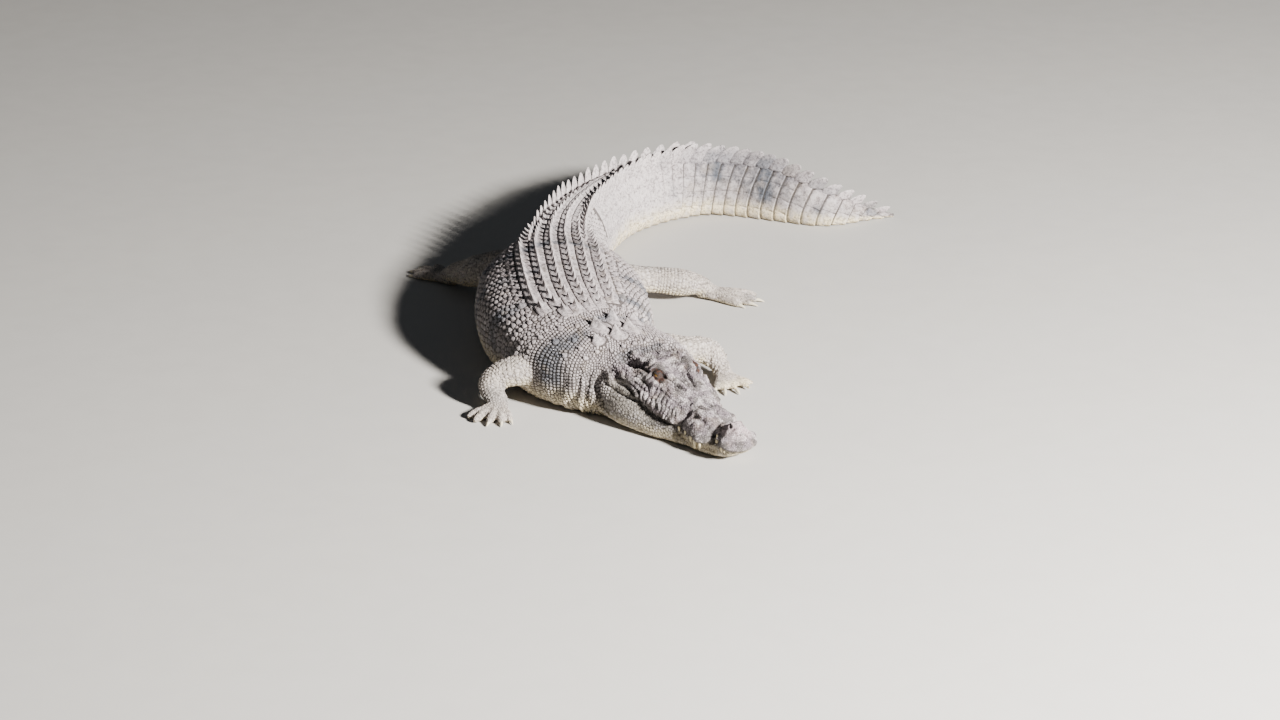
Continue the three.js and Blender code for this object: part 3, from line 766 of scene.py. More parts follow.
# Ridges (positive) and furrows (negative) of one side: height, radius and path, in head lengths.
HEAD_FORMS = [
    (
        "table edge", 0.014, 0.026,
        [(-0.035, 0.1, 0.386), (0.03, 0.112, 0.388), (0.09, 0.118, 0.388), (0.16, 0.112, 0.39)],
    ),
    ("table corner", 0.026, 0.034, [(-0.045, 0.108, 0.378), (-0.02, 0.112, 0.384)]),
    ("table middle", -0.01, 0.055, [(-0.01, 0.0, 0.388), (0.1, 0.0, 0.39)]),
    ("behind the table", -0.03, 0.04, [(-0.085, 0.0, 0.375), (-0.085, 0.075, 0.37), (-0.09, 0.125, 0.36)]),
    ("ear hollow", -0.062, 0.044, [(-0.06, 0.165, 0.362), (0.0, 0.152, 0.358), (0.05, 0.15, 0.354)]),
    ("ear furrow", -0.026, 0.02, [(0.03, 0.146, 0.352), (0.1, 0.146, 0.35), (0.155, 0.148, 0.346)]),
    ("ear lip", 0.014, 0.016, [(-0.03, 0.178, 0.338), (0.05, 0.17, 0.334), (0.14, 0.165, 0.33)]),
    ("brow", 0.02, 0.036, [(0.165, 0.1, 0.392), (0.24, 0.096, 0.392), (0.305, 0.088, 0.362)]),
    ("brow furrow", -0.008, 0.012, [(0.17, 0.062, 0.392), (0.25, 0.055, 0.38), (0.3, 0.05, 0.35)]),
    ("orbit", 0.02, 0.08, [(0.19, 0.14, 0.35), (0.28, 0.125, 0.345)]),
    ("upper lid", 0.012, 0.018, [(0.195, 0.128, 0.375), (0.245, 0.122, 0.381), (0.295, 0.108, 0.365)]),
    ("rear eye crease", -0.016, 0.013, [(0.205, 0.146, 0.352), (0.16, 0.155, 0.348)]),
    ("front eye crease", -0.018, 0.013, [(0.28, 0.125, 0.346), (0.3, 0.106, 0.344)]),
    ("brow hollow", -0.02, 0.05, [(0.2, 0.0, 0.382), (0.34, 0.0, 0.335)]),
    ("eye bag", 0.016, 0.03, [(0.17, 0.17, 0.325), (0.25, 0.168, 0.312), (0.32, 0.145, 0.3)]),
    ("eye bag crease", -0.015, 0.013, [(0.15, 0.19, 0.315), (0.25, 0.192, 0.292), (0.34, 0.168, 0.272)]),
    ("ridge before the eye", 0.017, 0.027, [(0.3, 0.076, 0.352), (0.36, 0.06, 0.33), (0.43, 0.042, 0.3)]),
    ("ridge outer crease", -0.022, 0.014, [(0.29, 0.11, 0.345), (0.36, 0.084, 0.322), (0.43, 0.056, 0.295)]),
    ("ridge inner crease", -0.015, 0.012, [(0.3, 0.044, 0.342), (0.36, 0.032, 0.322), (0.41, 0.02, 0.3)]),
    ("outer ridge", 0.012, 0.022, [(0.33, 0.128, 0.31), (0.41, 0.112, 0.275), (0.49, 0.095, 0.245)]),
    ("outer ridge crease", -0.014, 0.013, [(0.31, 0.152, 0.288), (0.4, 0.138, 0.25), (0.48, 0.12, 0.222)]),
    ("cheek crease", -0.018, 0.016, [(0.1, 0.235, 0.3), (0.17, 0.225, 0.288), (0.25, 0.208, 0.262)]),
    ("cheek swelling", 0.02, 0.045, [(0.3, 0.195, 0.21), (0.4, 0.17, 0.185)]),
    (
        "gap before the swelling", -0.042, 0.036,
        [(0.515, 0.175, 0.085), (0.525, 0.15, 0.15), (0.54, 0.11, 0.2)],
    ),
    ("jaw under the gap", -0.036, 0.05, [(0.52, 0.185, 0.06), (0.585, 0.16, 0.045)]),
    ("jaw under the notch", -0.026, 0.042, [(0.745, 0.125, 0.045), (0.8, 0.11, 0.05)]),
    ("gap crest", -0.014, 0.02, [(0.53, 0.1, 0.21), (0.545, 0.07, 0.23), (0.59, 0.04, 0.236)]),
    ("tooth swelling", 0.034, 0.055, [(0.62, 0.125, 0.15), (0.68, 0.125, 0.15)]),
    ("tooth swelling top", 0.012, 0.035, [(0.59, 0.075, 0.21), (0.68, 0.07, 0.195)]),
    ("notch", -0.042, 0.038, [(0.775, 0.105, 0.12), (0.765, 0.085, 0.165)]),
    ("notch top", -0.018, 0.03, [(0.755, 0.07, 0.18), (0.745, 0.03, 0.195)]),
    ("front tooth swelling", 0.012, 0.034, [(0.86, 0.105, 0.12), (0.91, 0.095, 0.12)]),
    ("nose dome", 0.03, 0.065, [(0.845, 0.0, 0.205), (0.9, 0.0, 0.205)]),
    ("nostril rim", 0.012, 0.022, [(0.845, 0.036, 0.215), (0.885, 0.042, 0.212)]),
    ("nose split", -0.006, 0.012, [(0.82, 0.0, 0.23), (0.93, 0.0, 0.205)]),
    ("snout furrow", -0.008, 0.022, [(0.48, 0.0, 0.272), (0.74, 0.0, 0.2)]),
    (
        "jaw roll", 0.03, 0.032,
        [(-0.005, 0.292, 0.266), (0.06, 0.285, 0.258), (0.13, 0.268, 0.248), (0.2, 0.243, 0.228)],
    ),
    (
        "jaw roll top", -0.018, 0.015,
        [(0.0, 0.272, 0.3), (0.06, 0.262, 0.29), (0.13, 0.25, 0.283), (0.215, 0.235, 0.256)],
    ),
    (
        "jaw roll foot", -0.018, 0.016,
        [(-0.03, 0.31, 0.245), (0.04, 0.3, 0.228), (0.11, 0.286, 0.212), (0.19, 0.25, 0.2)],
    ),
    ("jaw knob", 0.02, 0.026, [(-0.025, 0.285, 0.292), (-0.01, 0.285, 0.292)]),
    (
        "knob crease", -0.014, 0.016,
        [(-0.05, 0.3, 0.26), (-0.058, 0.28, 0.3), (-0.03, 0.262, 0.322), (0.02, 0.255, 0.31)],
    ),
    (
        "jaw neck crease", -0.045, 0.033,
        [
            (-0.08, 0.3, 0.29), (-0.09, 0.335, 0.22), (-0.07, 0.34, 0.15),
            (-0.01, 0.335, 0.08), (0.06, 0.32, 0.02),
        ],
    ),
    (
        "collar", 0.016, 0.04,
        [(-0.13, 0.33, 0.26), (-0.125, 0.345, 0.18), (-0.08, 0.35, 0.1), (-0.02, 0.34, 0.03)],
    ),
    ("throat fold", 0.01, 0.022, [(0.06, 0.3, 0.05), (0.22, 0.26, 0.035), (0.4, 0.2, 0.03)]),
]


def nostril_gap(mirrored):
    """Distance from a nostril, stretched into its crescent."""
    local = mirrored - NOSTRIL
    bow = local[:, 1] - 0.004 + 12.0 * local[:, 0] ** 2
    return np.sqrt((0.8 * local[:, 0]) ** 2 + (1.5 * bow) ** 2 + (0.5 * local[:, 2]) ** 2)


def head_forms(h):
    """How far the head's forms move its surface out, and how deep in a crease each point is."""
    mirrored = one_sided(h)
    rise = np.zeros(len(h))
    crease = np.zeros(len(h))
    for _, height, radius, path in HEAD_FORMS:
        gap, where = path_distance(mirrored, np.array(path))
        share = falloff(gap, radius) * (0.55 + 0.45 * np.sin(math.pi * np.clip(where, 0.02, 0.98)) ** 0.5)
        rise += height * share
        if height < 0 and radius < 0.042:
            crease = np.maximum(crease, share * min(1.0, -height / 0.016))
    gap, where = path_distance(mirrored, mouth_path())
    wide = 0.013 + 0.008 * (1 - smoothstep(0.1, 0.5, where))
    mouth = np.clip(1 - (gap / wide) ** 2, 0, 1) ** 1.2
    mouth = mouth * smoothstep(0, 0.05, where)
    rise -= (0.02 + 0.008 * (1 - smoothstep(0.1, 0.5, where))) * mouth
    # The crease share, which later sets painted shade, also takes in the mouth line and the nostrils.
    crease = np.maximum(crease * 0.8, smoothstep(0.15, 0.6, mouth))
    crease = np.maximum(crease, smoothstep(0.018, 0.009, nostril_gap(mirrored)))
    return rise, crease, gap


def head_relief(h):
    """How far the head's surface moves out at each point, in head lengths."""
    mirrored = one_sided(h)
    f, x, u = mirrored[:, 0], mirrored[:, 1], mirrored[:, 2]
    rise, _, gap = head_forms(h)
    above = u - lip_height(f)
    lip = falloff(gap, 0.036) * smoothstep(0.004, 0.016, above)
    rise += 0.012 * lip * (0.6 + 0.4 * np.sin(f * 95 + 2 * lattice_noise(mirrored, 0.06, 14)))
    cheek = smoothstep(0.17, 0.24, f) * (1 - smoothstep(0.46, 0.52, f)) * smoothstep(0.11, 0.16, x)
    cheek = cheek * smoothstep(0.0, 0.02, above)
    wander = 5 * lattice_noise(mirrored, 0.05, 15)
    folds = np.abs(np.sin(f * math.pi / 0.03 + u * 16 + wander))
    rise += cheek * 0.014 * (folds**0.6 - 0.55)
    side = smoothstep(-0.03, 0.02, f) * (1 - smoothstep(0.3, 0.4, f)) * smoothstep(0.15, 0.2, x)
    side = side * smoothstep(0.0, 0.03, u - 0.285)
    folds = np.abs(np.sin(u * math.pi / 0.02 + f * 14 + wander))
    rise += side * 0.009 * (folds**0.6 - 0.5)
    upper = smoothstep(0.0, 0.04, above)
    rise += upper * 0.018 * (lattice_noise(mirrored, 0.05, 12) - 0.5)
    rise += upper * 0.014 * (lattice_noise(mirrored, 0.021, 13) - 0.5)
    rise += (1 - upper) * 0.007 * (lattice_noise(mirrored, 0.08, 16) - 0.5)
    rise -= 0.03 * falloff(nostril_gap(mirrored), 0.0155)
    return rise


def eye_axes():
    """Along the lids' slit, and across it upwards, for the left eye."""
    slit = unit(np.array([1.0, 0.0, -0.2]) - EYE_GAZE * (np.array([1.0, 0.0, -0.2]) @ EYE_GAZE))
    return slit, np.cross(EYE_GAZE, -slit)


def shape_eyes(h, opening):
    """Wraps the skin round each eyeball and parts the lids."""
    slit, rise = eye_axes()
    bare = np.zeros(len(h))
    for side in (1, -1):
        centre = EYE_PLACE * (1, side, 1)
        local = (h - centre) * (1, side, 1)
        gap = np.linalg.norm(local, axis=1)
        near = gap < 0.07
        facing = local / np.maximum(gap, 1e-6)[:, None]
        front = facing @ EYE_GAZE
        p = facing @ slit
        q = facing @ rise - 0.02 + 0.10 * p * p
        lid = opening * np.clip(1 - (p / 0.86) ** 2, 0, 1) ** 0.8
        part = (np.abs(q) - lid) / 0.05
        shut = np.clip(part, 0, 1)
        shut = np.where(front > 0.0, shut, 1.0)
        rim = np.exp(-(((part - 1.8) / 1.5) ** 2)) * 0.0026
        fold = 0.0013 * np.cos(np.abs(q) * 30 + 2 * p) * smoothstep(0.15, 0.35, np.abs(q))
        corner = 0.004 * np.exp(-((q / 0.06) ** 2)) * smoothstep(0.8, 0.95, np.abs(p))
        target = (EYE_SIZE - 0.003) + shut * (0.0054 + rim + fold) - corner
        pull = smoothstep(0.05, 0.036, gap) * smoothstep(-0.2, 0.2, front)
        pull = pull * near
        inward = np.where(gap > target, 0.7 + 0.3 * smoothstep(0.5, 0.0, np.abs(q)), 1.0)
        length = gap + (target - gap) * pull * inward
        moved = centre + facing * length[:, None] * (1, side, 1)
        h = np.where(near[:, None], moved, h)
        bare = np.maximum(bare, near * smoothstep(0.05, 0.04, gap) * (front > 0.0))
    return h, bare


# ------------------------------------------------------------------ the skin
def smooth_outline(points, rounds=2):
    for _ in range(rounds):
        after = np.roll(points, -1, 0)
        points = np.stack([points * 0.75 + after * 0.25, points * 0.25 + after * 0.75], 1).reshape(-1, 2)
    return points


def upper_head_half(f):
    top, brow, jaw, lip = crown(f), brow_width(f), jaw_width(f), lip_height(f)
    rim = top + brow_rise(f)
    cheek = lip + (rim - lip) * 0.3
    hollow = brow + (jaw - brow) * 0.34
    return [
        (0, top),
        (brow * 0.5, top + brow_rise(f) * 0.4),
        (brow * 0.86, rim),
        (brow * 1.04, rim - 0.02),
        (hollow, cheek + (rim - cheek) * 0.52),
        (jaw * 0.86, cheek + (rim - cheek) * 0.22),
        (jaw * 0.99, cheek),
        (jaw, lip + (cheek - lip) * 0.3),
        (jaw * 0.96, lip),
        (0, lip),
    ]


def lower_jaw_half(f):
    seam, jaw, chin = lip_height(f) + 0.004, lower_jaw_width(f), chin_height(f)
    return [
        (0, seam),
        (min(jaw_width(f) * 0.95, jaw * 0.97), seam),
        (jaw, chin + (seam - chin) * 0.62),
        (jaw, chin + (seam - chin) * 0.24),
        (jaw * 0.88, chin),
        (0, chin),
    ]


def head_rings(stations, half, nose):
    rings = []
    for f in stations:
        side = np.array(half(f))
        mirror = side[-2:0:-1] * (-1, 1)
        outline = smooth_outline(np.vstack([side, mirror]))
        middle = outline.mean(0)
        spread = np.abs(outline - middle).max(0)
        outline = middle + (outline - middle) * (1 - HEAD_COAT / np.maximum(spread, 0.01))
        outline[:, 1] = np.maximum(outline[:, 1], HEAD_COAT)
        rings.append(head_point(f, outline[:, 0], outline[:, 1]))
    blunt = rings[-1].mean(0)
    rings.append(blunt + (rings[-1] - blunt) * 0.55 + FORWARD * nose)
    return rings


def body_rings():
    turns = np.linspace(-math.pi, math.pi, 72, endpoint=False)
    rings = []
    for s in np.concatenate([np.arange(0.0, 3.3, 0.012), np.arange(3.3, 3.409, 0.006)]):
        across, height = section(s, np.abs(turns))
        rings.append(body_point(s, across * np.sign(turns), height))
    return rings


def tube_rings(tube, steps, sides, floor):
    turns = circle(sides)
    rings = [tube.surface(t, turns, floor)[0] for t in np.linspace(0, 1, steps)]
    middle, tip = rings[-1].mean(0), rings[-1]
    rings.append(middle + (tip - middle) * 0.6 + tube.along(1.0)[0] * tube.wide(1.0) * 0.6)
    return rings


def skin_shells():
    """One closed shell for each length of the animal, which overlap where they meet."""
    shells = [body_rings()]
    shells.append(head_rings(np.arange(HEAD_REAR, 0.981, 0.02), upper_head_half, 0.004))
    shells.append(head_rings(np.arange(HEAD_REAR, 0.941, 0.02), lower_jaw_half, 0.005))
    for tube, region, _ in all_tubes():
        steps, sides = (40, 28) if region == LEG else (16, 18)
        shells.append(tube_rings(tube, steps, sides, 0.002))
    vertices, faces = [], []
    for rings in shells:
        add_loft(vertices, faces, rings)
    return vertices, faces


def merge(piece, voxel):
    """Makes one closed surface of overlapping shells."""
    remesh = piece.modifiers.new("Merge", "REMESH")
    remesh.mode = "VOXEL"
    remesh.voxel_size = voxel
    shaped = piece.evaluated_get(bpy.context.evaluated_depsgraph_get())
    old = piece.data
    mesh = bpy.data.meshes.new_from_object(shaped)
    piece.modifiers.clear()
    piece.data = mesh
    bpy.data.meshes.remove(old)


def refine(piece, chosen):
    """Halves the edges whose two ends are chosen."""
    bm = bmesh.new()
    bm.from_mesh(piece.data)
    edges = [e for e in bm.edges if chosen[e.verts[0].index] and chosen[e.verts[1].index]]
    bmesh.ops.subdivide_edges(bm, edges=edges, cuts=1, use_grid_fill=True)
    bm.to_mesh(piece.data)
    bm.free()


def body_relief(co):
    """Folds and unevenness of the skin behind the head, in metres."""
    s, _ = along_spine(co)
    rise = 0.006 * (lattice_noise(co, 0.11, 21) - 0.5) + 0.003 * (lattice_noise(co, 0.04, 22) - 0.5)
    neck = smoothstep(0.0, 0.05, s) * (1 - smoothstep(0.2, 0.34, s))
    low = 1 - smoothstep(0.12, 0.22, co[:, 2])
    rise += 0.006 * neck * low * np.sin(2 * math.pi * s / 0.055 + 6 * (lattice_noise(co, 0.1, 23) - 0.5))
    return rise


SKIN_OFF_FLOOR = 0.0015


def shape_skin(piece, opening):
    """Smooths the skin, raises its folds and the face, and returns how bare of scales it is."""
    mesh = piece.data
    co = positions(mesh)
    place = Place(co)
    foot = place.region == FOOT
    co = relaxed(co, edge_ends(mesh), np.where(foot, 0.25, 0.5), 4)
    s = place.s
    soft = (1 - smoothstep(0.03, 0.09, np.abs(s - 0.03))) * 0.9
    for tube, region, _ in all_tubes():
        if region == LEG:
            for t, reach in ((0.12, 0.13), (0.2, 0.12)):
                root = tube.centre(t)[0]
                soft = np.maximum(soft, 0.8 * falloff(np.linalg.norm(co - root, axis=1), reach * 1.6))
    soft = np.maximum(soft, np.where(foot, 0.03, 0.2))
    co = relaxed(co, edge_ends(mesh), soft, 14)
    rise = np.where(place.head[:, 0] < -0.06, 1.0, 0.0) * (1 - foot) * body_relief(co)
    move_to(mesh, co)
    co = co + normals(mesh) * rise[:, None]
    move_to(mesh, co)
    refine(piece, head_place(co)[:, 0] > -0.14)
    mesh = piece.data
    h = head_place(positions(mesh))
    mirrored = one_sided(h)
    eye_gap = np.linalg.norm(mirrored - EYE_PLACE, axis=1)
    mouth_gap, _ = path_distance(mirrored, mouth_path())
    nose_gap = np.linalg.norm(mirrored - NOSTRIL, axis=1)
    refine(piece, (eye_gap < 0.075) | (mouth_gap < 0.018) | (nose_gap < 0.03))
    mesh = piece.data
    co = positions(mesh)
    ahead = head_place(co)[:, 0] > -0.08
    co = relaxed(co, edge_ends(mesh), ahead * 0.5, 5)
    move_to(mesh, co)
    h = head_place(co)
    rise = head_relief(h) * smoothstep(-0.15, -0.11, h[:, 0]) * HEAD_LENGTH
    co = co + normals(mesh) * rise[:, None]
    move_to(mesh, co)
    eye_gap = np.linalg.norm(np.abs(head_place(co)) - EYE_PLACE, axis=1)
    refine(piece, eye_gap < 0.06)
    mesh = piece.data
    co = positions(mesh)
    h, bare = shape_eyes(head_place(co), opening)
    shaped = head_point(h[:, 0], h[:, 1], h[:, 2])
    co = np.where((bare > 0)[:, None] | (np.abs(h - head_place(co)).max(1) > 1e-6)[:, None], shaped, co)
    co[:, 2] = np.maximum(co[:, 2], SKIN_OFF_FLOOR)
    move_to(mesh, co)
    return bare


# ------------------------------------------------------------------ the roots of the scales
def flat_along(points, s):
    """The direction towards the tail at distances along the spine."""
    angle = np.radians(spine_heading(s))
    return np.stack([np.cos(angle), np.sin(angle), np.zeros(len(points))], 1)


CELL = 0.046  # side of the cells in which crowding scales are looked for
CELL_STEPS = list(itertools.product((-1, 0, 1), repeat=3))


def crowded(spot, size, rank, key, cells):
    """Whether a scale comes too near to one set before it. Cells hold the spots, sizes and ranks."""
    x, y, z = spot
    kx, ky, kz = key
    for dx, dy, dz in CELL_STEPS:
        for (a, b, c), other_size, other_rank in cells.get((kx + dx, ky + dy, kz + dz), ()):
            tight = 0.6 if other_rank == rank and rank < 5 else 0.78
            if other_rank == 0 and rank > 1:
                tight = 1.06
            reach = tight * (size + other_size)
            if (x - a) ** 2 + (y - b) ** 2 + (z - c) ** 2 < reach * reach:
                return True
    return False


class Roots:
    """Where scales grow on the skin. Each entry is one scale."""

    KINDS = (
        ("spot", 3), ("normal", 3), ("along", 3), ("root", 2), ("size", 1), ("height", 1),
        ("keel", 1), ("lift", 1), ("seam", 1), ("rank", 1), ("detail", 1), ("piece", 1),
    )

    def __init__(self, skin):
        mesh = skin.data
        self.co = positions(mesh)
        polygons = [tuple(p.vertices) for p in mesh.polygons]
        self.tree = BVHTree.FromPolygons(self.co.tolist(), polygons)
        self.lists = {name: [] for name, _ in self.KINDS}
        self.names = []

    def piece(self, name):
        if name not in self.names:
            self.names.append(name)
        return self.names.index(name)

    def grow(
        self, points, along, root, piece, size, height,
        keel=0.0, lift=0.0, seam=0.0, rank=2, detail=8, reach=0.014,
    ):
        """Sets scales on the skin nearest to the points, and drops those that are out of its reach."""
        count = len(points)
        if count == 0:
            return
        spots, facing, kept = [], [], []
        for i, point in enumerate(points):
            spot, normal, _, gap = self.tree.find_nearest(Vector(point))
            if spot is not None and gap < reach:
                spots.append(spot[:])
                facing.append(normal[:])
                kept.append(i)
        if not kept:
            return
        index = self.piece(piece)
        values = {
            "root": root, "along": along, "size": size, "height": height, "keel": keel, "lift": lift,
            "seam": seam, "rank": rank, "detail": detail, "piece": index,
        }
        self.lists["spot"].append(np.array(spots))
        self.lists["normal"].append(np.array(facing))
        for name, width in self.KINDS[2:]:
            value = np.asarray(values[name], float)
            shape = (count, width) if width > 1 else (count,)
            self.lists[name].append(np.broadcast_to(value, shape)[kept])

    def settle(self):
        """Joins the lists, and drops scales that crowd others set before them."""
        for name, _ in self.KINDS:
            setattr(self, name, np.concatenate(self.lists[name]))
        cells = {}
        kept = []
        keys = np.floor(self.spot / CELL).astype(int).tolist()
        spots = self.spot.tolist()
        sizes = self.size.tolist()
        ranks = self.rank.tolist()
        for i in np.argsort(self.rank, kind="stable"):
            spot, size, rank, key = spots[i], sizes[i], ranks[i], keys[i]
            if not crowded(spot, size, rank, key, cells):
                cells.setdefault(tuple(key), []).append((spot, size, rank))
                kept.append(i)
        self.keep(np.array(kept))

    def keep(self, kept):
        for name, _ in self.KINDS:
            setattr(self, name, getattr(self, name)[kept])

    def clear_creases(self):
        """Leaves the head's deep folds and the mouth bare."""
        h = head_place(self.spot)
        _, crease, _ = head_forms(h)
        self.keep(np.nonzero((h[:, 0] < -0.18) | (crease < 0.42) | (self.rank == 0))[0])


def body_root(s, arc):
    girth = np.array([half_girth(v) for v in np.unique(s)])
    girth = girth[np.searchsorted(np.unique(s), s)]
    return np.stack([s / SPINE_LENGTH, 0.5 + 0.48 * arc / girth], 1)


def grow_row(roots, s, arcs, piece, **traits):
    arcs = np.asarray(arcs, float)
    stations = np.full(len(arcs), float(s))
    points = section_at(s, arcs)
    roots.grow(points, flat_along(points, stations), body_root(stations, arcs), piece, **traits)


WHORL_START = 1.614  # from here back the tail is ringed by whole whorls
SCUTE_START = 0.362
SCUTE_ROWS = 17
NUCHALS = [(0.15, 0.038, 0.036), (0.226, 0.044, 0.039), (0.187, 0.118, 0.028)]
NECK_KNOBS = [
    (0.07, 0.028, 0.011), (0.074, 0.072, 0.011), (0.085, 0.12, 0.009), (0.255, 0.16, 0.013),
    (0.29, 0.2, 0.014), (0.31, 0.145, 0.015), (0.225, 0.185, 0.012), (0.33, 0.22, 0.014),
    (0.25, 0.235, 0.012), (0.19, 0.21, 0.011), (0.15, 0.165, 0.01), (0.285, 0.095, 0.013),
]


ROOM = {"height": 0, "rank": 0, "reach": 0.03}  # keeps small scales off what the plates cover
KNOB = {"lift": 0.002, "rank": 1, "detail": 12, "reach": 0.03}


def shield_half(k):
    """Scutes on each side of the middle in one row of the shield."""
    return 2 if k == 0 else 3


def shield_width(s, pitch):
    return pitch * float(np.interp(s, (0.36, 0.42, 0.95, 1.3), (0.86, 1.0, 1.0, 0.8)))


def grow_back(roots, sizes):
    """The scutes of the neck, and the room that the back's shield takes up."""
    pitch = sizes.scute_pitch
    for s, arc, size in NUCHALS:
        for side in (1, -1):
            grow_row(roots, s, [side * arc], "room", size=size * 0.92, **ROOM)
    for s, arc, size in NECK_KNOBS:
        for side in (1, -1):
            grow_row(roots, s, [side * arc], "scutes_neck", size=size, height=0.004, keel=0.009, **KNOB)
    for k in range(SCUTE_ROWS):
        s = SCUTE_START + k * pitch
        wide = shield_width(s, pitch)
        for j in range(shield_half(k)):
            grow_row(roots, s, [(j + 0.5) * wide, -(j + 0.5) * wide], "room", size=wide * 0.5, **ROOM)
        if 2 <= k <= 13:
            arcs = [side * 3.4 * wide for side in (1, -1)]
            grow_row(roots, s + 0.012, arcs, "scutes_neck", size=wide * 0.33, height=0.003, keel=0.01, **KNOB)


def grow_body(roots, sizes):
    """Flank, belly and neck scales in rows across the body."""
    rng = np.random.default_rng(11)
    pitch = sizes.scute_pitch / 2
    for k, s in enumerate(np.arange(0.335, TAIL_START, pitch)):
        girth = half_girth(s)
        belly = girth - 0.2
        across = sizes.flank_scale
        arcs = np.arange(0.5 + 0.5 * (k % 2), belly / across, 1.0) * across
        for side, name in ((1, "scales_flank_left"), (-1, "scales_flank_right")):
            jitter = rng.normal(0, 0.0014, len(arcs))
            grid = np.stack([arcs, np.full(len(arcs), s), np.zeros(len(arcs))], 1)
            big = lattice_noise(grid, 0.05, 31 + side)
            size = across * (0.42 + 0.2 * big)
            grow_row(
                roots, s + rng.normal(0, 0.001), side * (arcs + jitter), name,
                size=size, height=0.0026 + 0.0022 * big, lift=0.0018, keel=0.0022 * big, rank=2, detail=10,
            )
            under = np.arange(belly + sizes.belly_scale * 0.4, girth, sizes.belly_scale)
            size = sizes.belly_scale * 0.5
            grow_row(roots, s, side * under, "scales_belly", size=size, height=0.0016, lift=0.0005, rank=3)
    bead = sizes.neck_scale
    for k, s in enumerate(np.arange(-0.01, 0.345, bead * 0.92)):
        girth = half_girth(max(s, 0))
        arcs = np.arange(0.5 + 0.5 * (k % 2), girth / bead, 1.0) * bead
        for side in (1, -1):
            jitter = rng.normal(0, 0.0013, len(arcs))
            low = np.clip(arcs / girth, 0, 1)
            size = bead * (0.47 + 0.12 * rng.random(len(arcs)))
            grow_row(
                roots, s + rng.normal(0, 0.0008), side * (arcs + jitter), "scales_neck",
                size=size, height=0.0026 - 0.0008 * low, lift=0.0008, rank=2,
            )


def grow_tail(roots, sizes):
    """Whorls of scales: small and staggered near the hips, large and square behind."""
    rng = np.random.default_rng(13)
    rows = np.arange(TAIL_START + 0.012, WHORL_START - 0.008, sizes.scute_pitch / 2)
    for k, s in enumerate(rows):
        girth = half_girth(s)
        spread = float(crest_spread(s))
        side_arcs = np.arange(spread + 0.012 + 0.0125 * (k % 2), girth, 0.0255)
        for side in (1, -1):
            grow_row(roots, s, side * np.array([0.02, 0.06]), "room", size=0.02, **ROOM)
            size = 0.0125 + 0.002 * rng.random(len(side_arcs))
            grow_row(
                roots, s, side * side_arcs, "scales_tail",
                size=size, height=0.0026, lift=0.0012, rank=2, detail=10,
            )


RINGED_FROM = 0.42  # share of a leg's length at which its scales fall into rings
LIMB_BANDS = 7  # bands of the bake map for one leg: its length, its pad and its digits


def grow_limbs(roots, sizes):
    """Rings of scales down each leg, with the smallest on the feet."""
    rng = np.random.default_rng(17)
    tubes = all_tubes()
    names = list(LIMBS)
    bands = [0] * len(names)
    for tube, region, number in tubes:
        piece = f"scales_{names[number]}"
        band = bands[number]
        bands[number] += 1
        t, ring = 0.0, 0
        while t < 1.0:
            ringed = region == LEG and t > RINGED_FROM
            if ringed:
                pitch, height = 0.0145, 0.0024
            elif region == LEG:
                pitch = sizes.leg_scale * float(np.interp(t, (0, 0.5, 1), (1.25, 0.95, 0.62)))
                height = 0.0016
            else:
                pitch = sizes.foot_scale * (1.0 if band == 1 else 0.95)
                height = 0.0012
            wide, tall = float(tube.wide(t)), float(tube.tall(t))
            girth = math.pi * (3 * (wide + tall) - math.sqrt((3 * wide + tall) * (wide + 3 * tall)))
            count = max(5, round(girth / pitch))
            stagger = rng.random() if ringed else 0.5 * (ring % 2)
            turns = (np.arange(count) + stagger + rng.normal(0, 0.06, count)) * 2 * math.pi / count
            points, along = tube.surface(np.full(count, t), turns, 0.003)
            round_it = np.mod(turns / (2 * math.pi), 1) * 0.96 + 0.02
            shown = np.stack([np.full(count, (band + t * 0.96) / LIMB_BANDS), round_it], 1)
            size = pitch * (0.46 + 0.1 * rng.random(count))
            roots.grow(
                points, along, shown, piece, size=size, height=height, lift=height * 0.6,
                seam=0.0016 * ringed, rank=3 if region == LEG else 4, reach=0.009,
            )
            t += pitch * 0.95 / tube.length
            ring += 1


def head_scale(h):
    """Half the width of the scales on the head, in metres."""
    f, x, u = h[:, 0], np.abs(h[:, 1]), h[:, 2]
    size = np.interp(f, (-0.05, 0.2, 0.45, 0.7, 0.95), (0.0052, 0.0044, 0.0042, 0.004, 0.0036))
    below = smoothstep(0.0, 0.05, lip_height(f) - u)
    size = size + below * np.interp(f, (0, 0.5, 0.95), (0.0024, 0.0018, 0.0006))
    lip = 1 - smoothstep(0.0, 0.035, np.abs(u - lip_height(f)))
    size = size * (1 - 0.22 * lip)
    gap = np.linalg.norm(np.stack([f, x, u], 1) - EYE_PLACE, axis=1)
    size = size * (0.42 + 0.58 * smoothstep(0.03, 0.1, gap))
    gap = np.linalg.norm(np.stack([f, x, u], 1) - NOSTRIL, axis=1)
    return size * (0.55 + 0.45 * smoothstep(0.02, 0.06, gap))


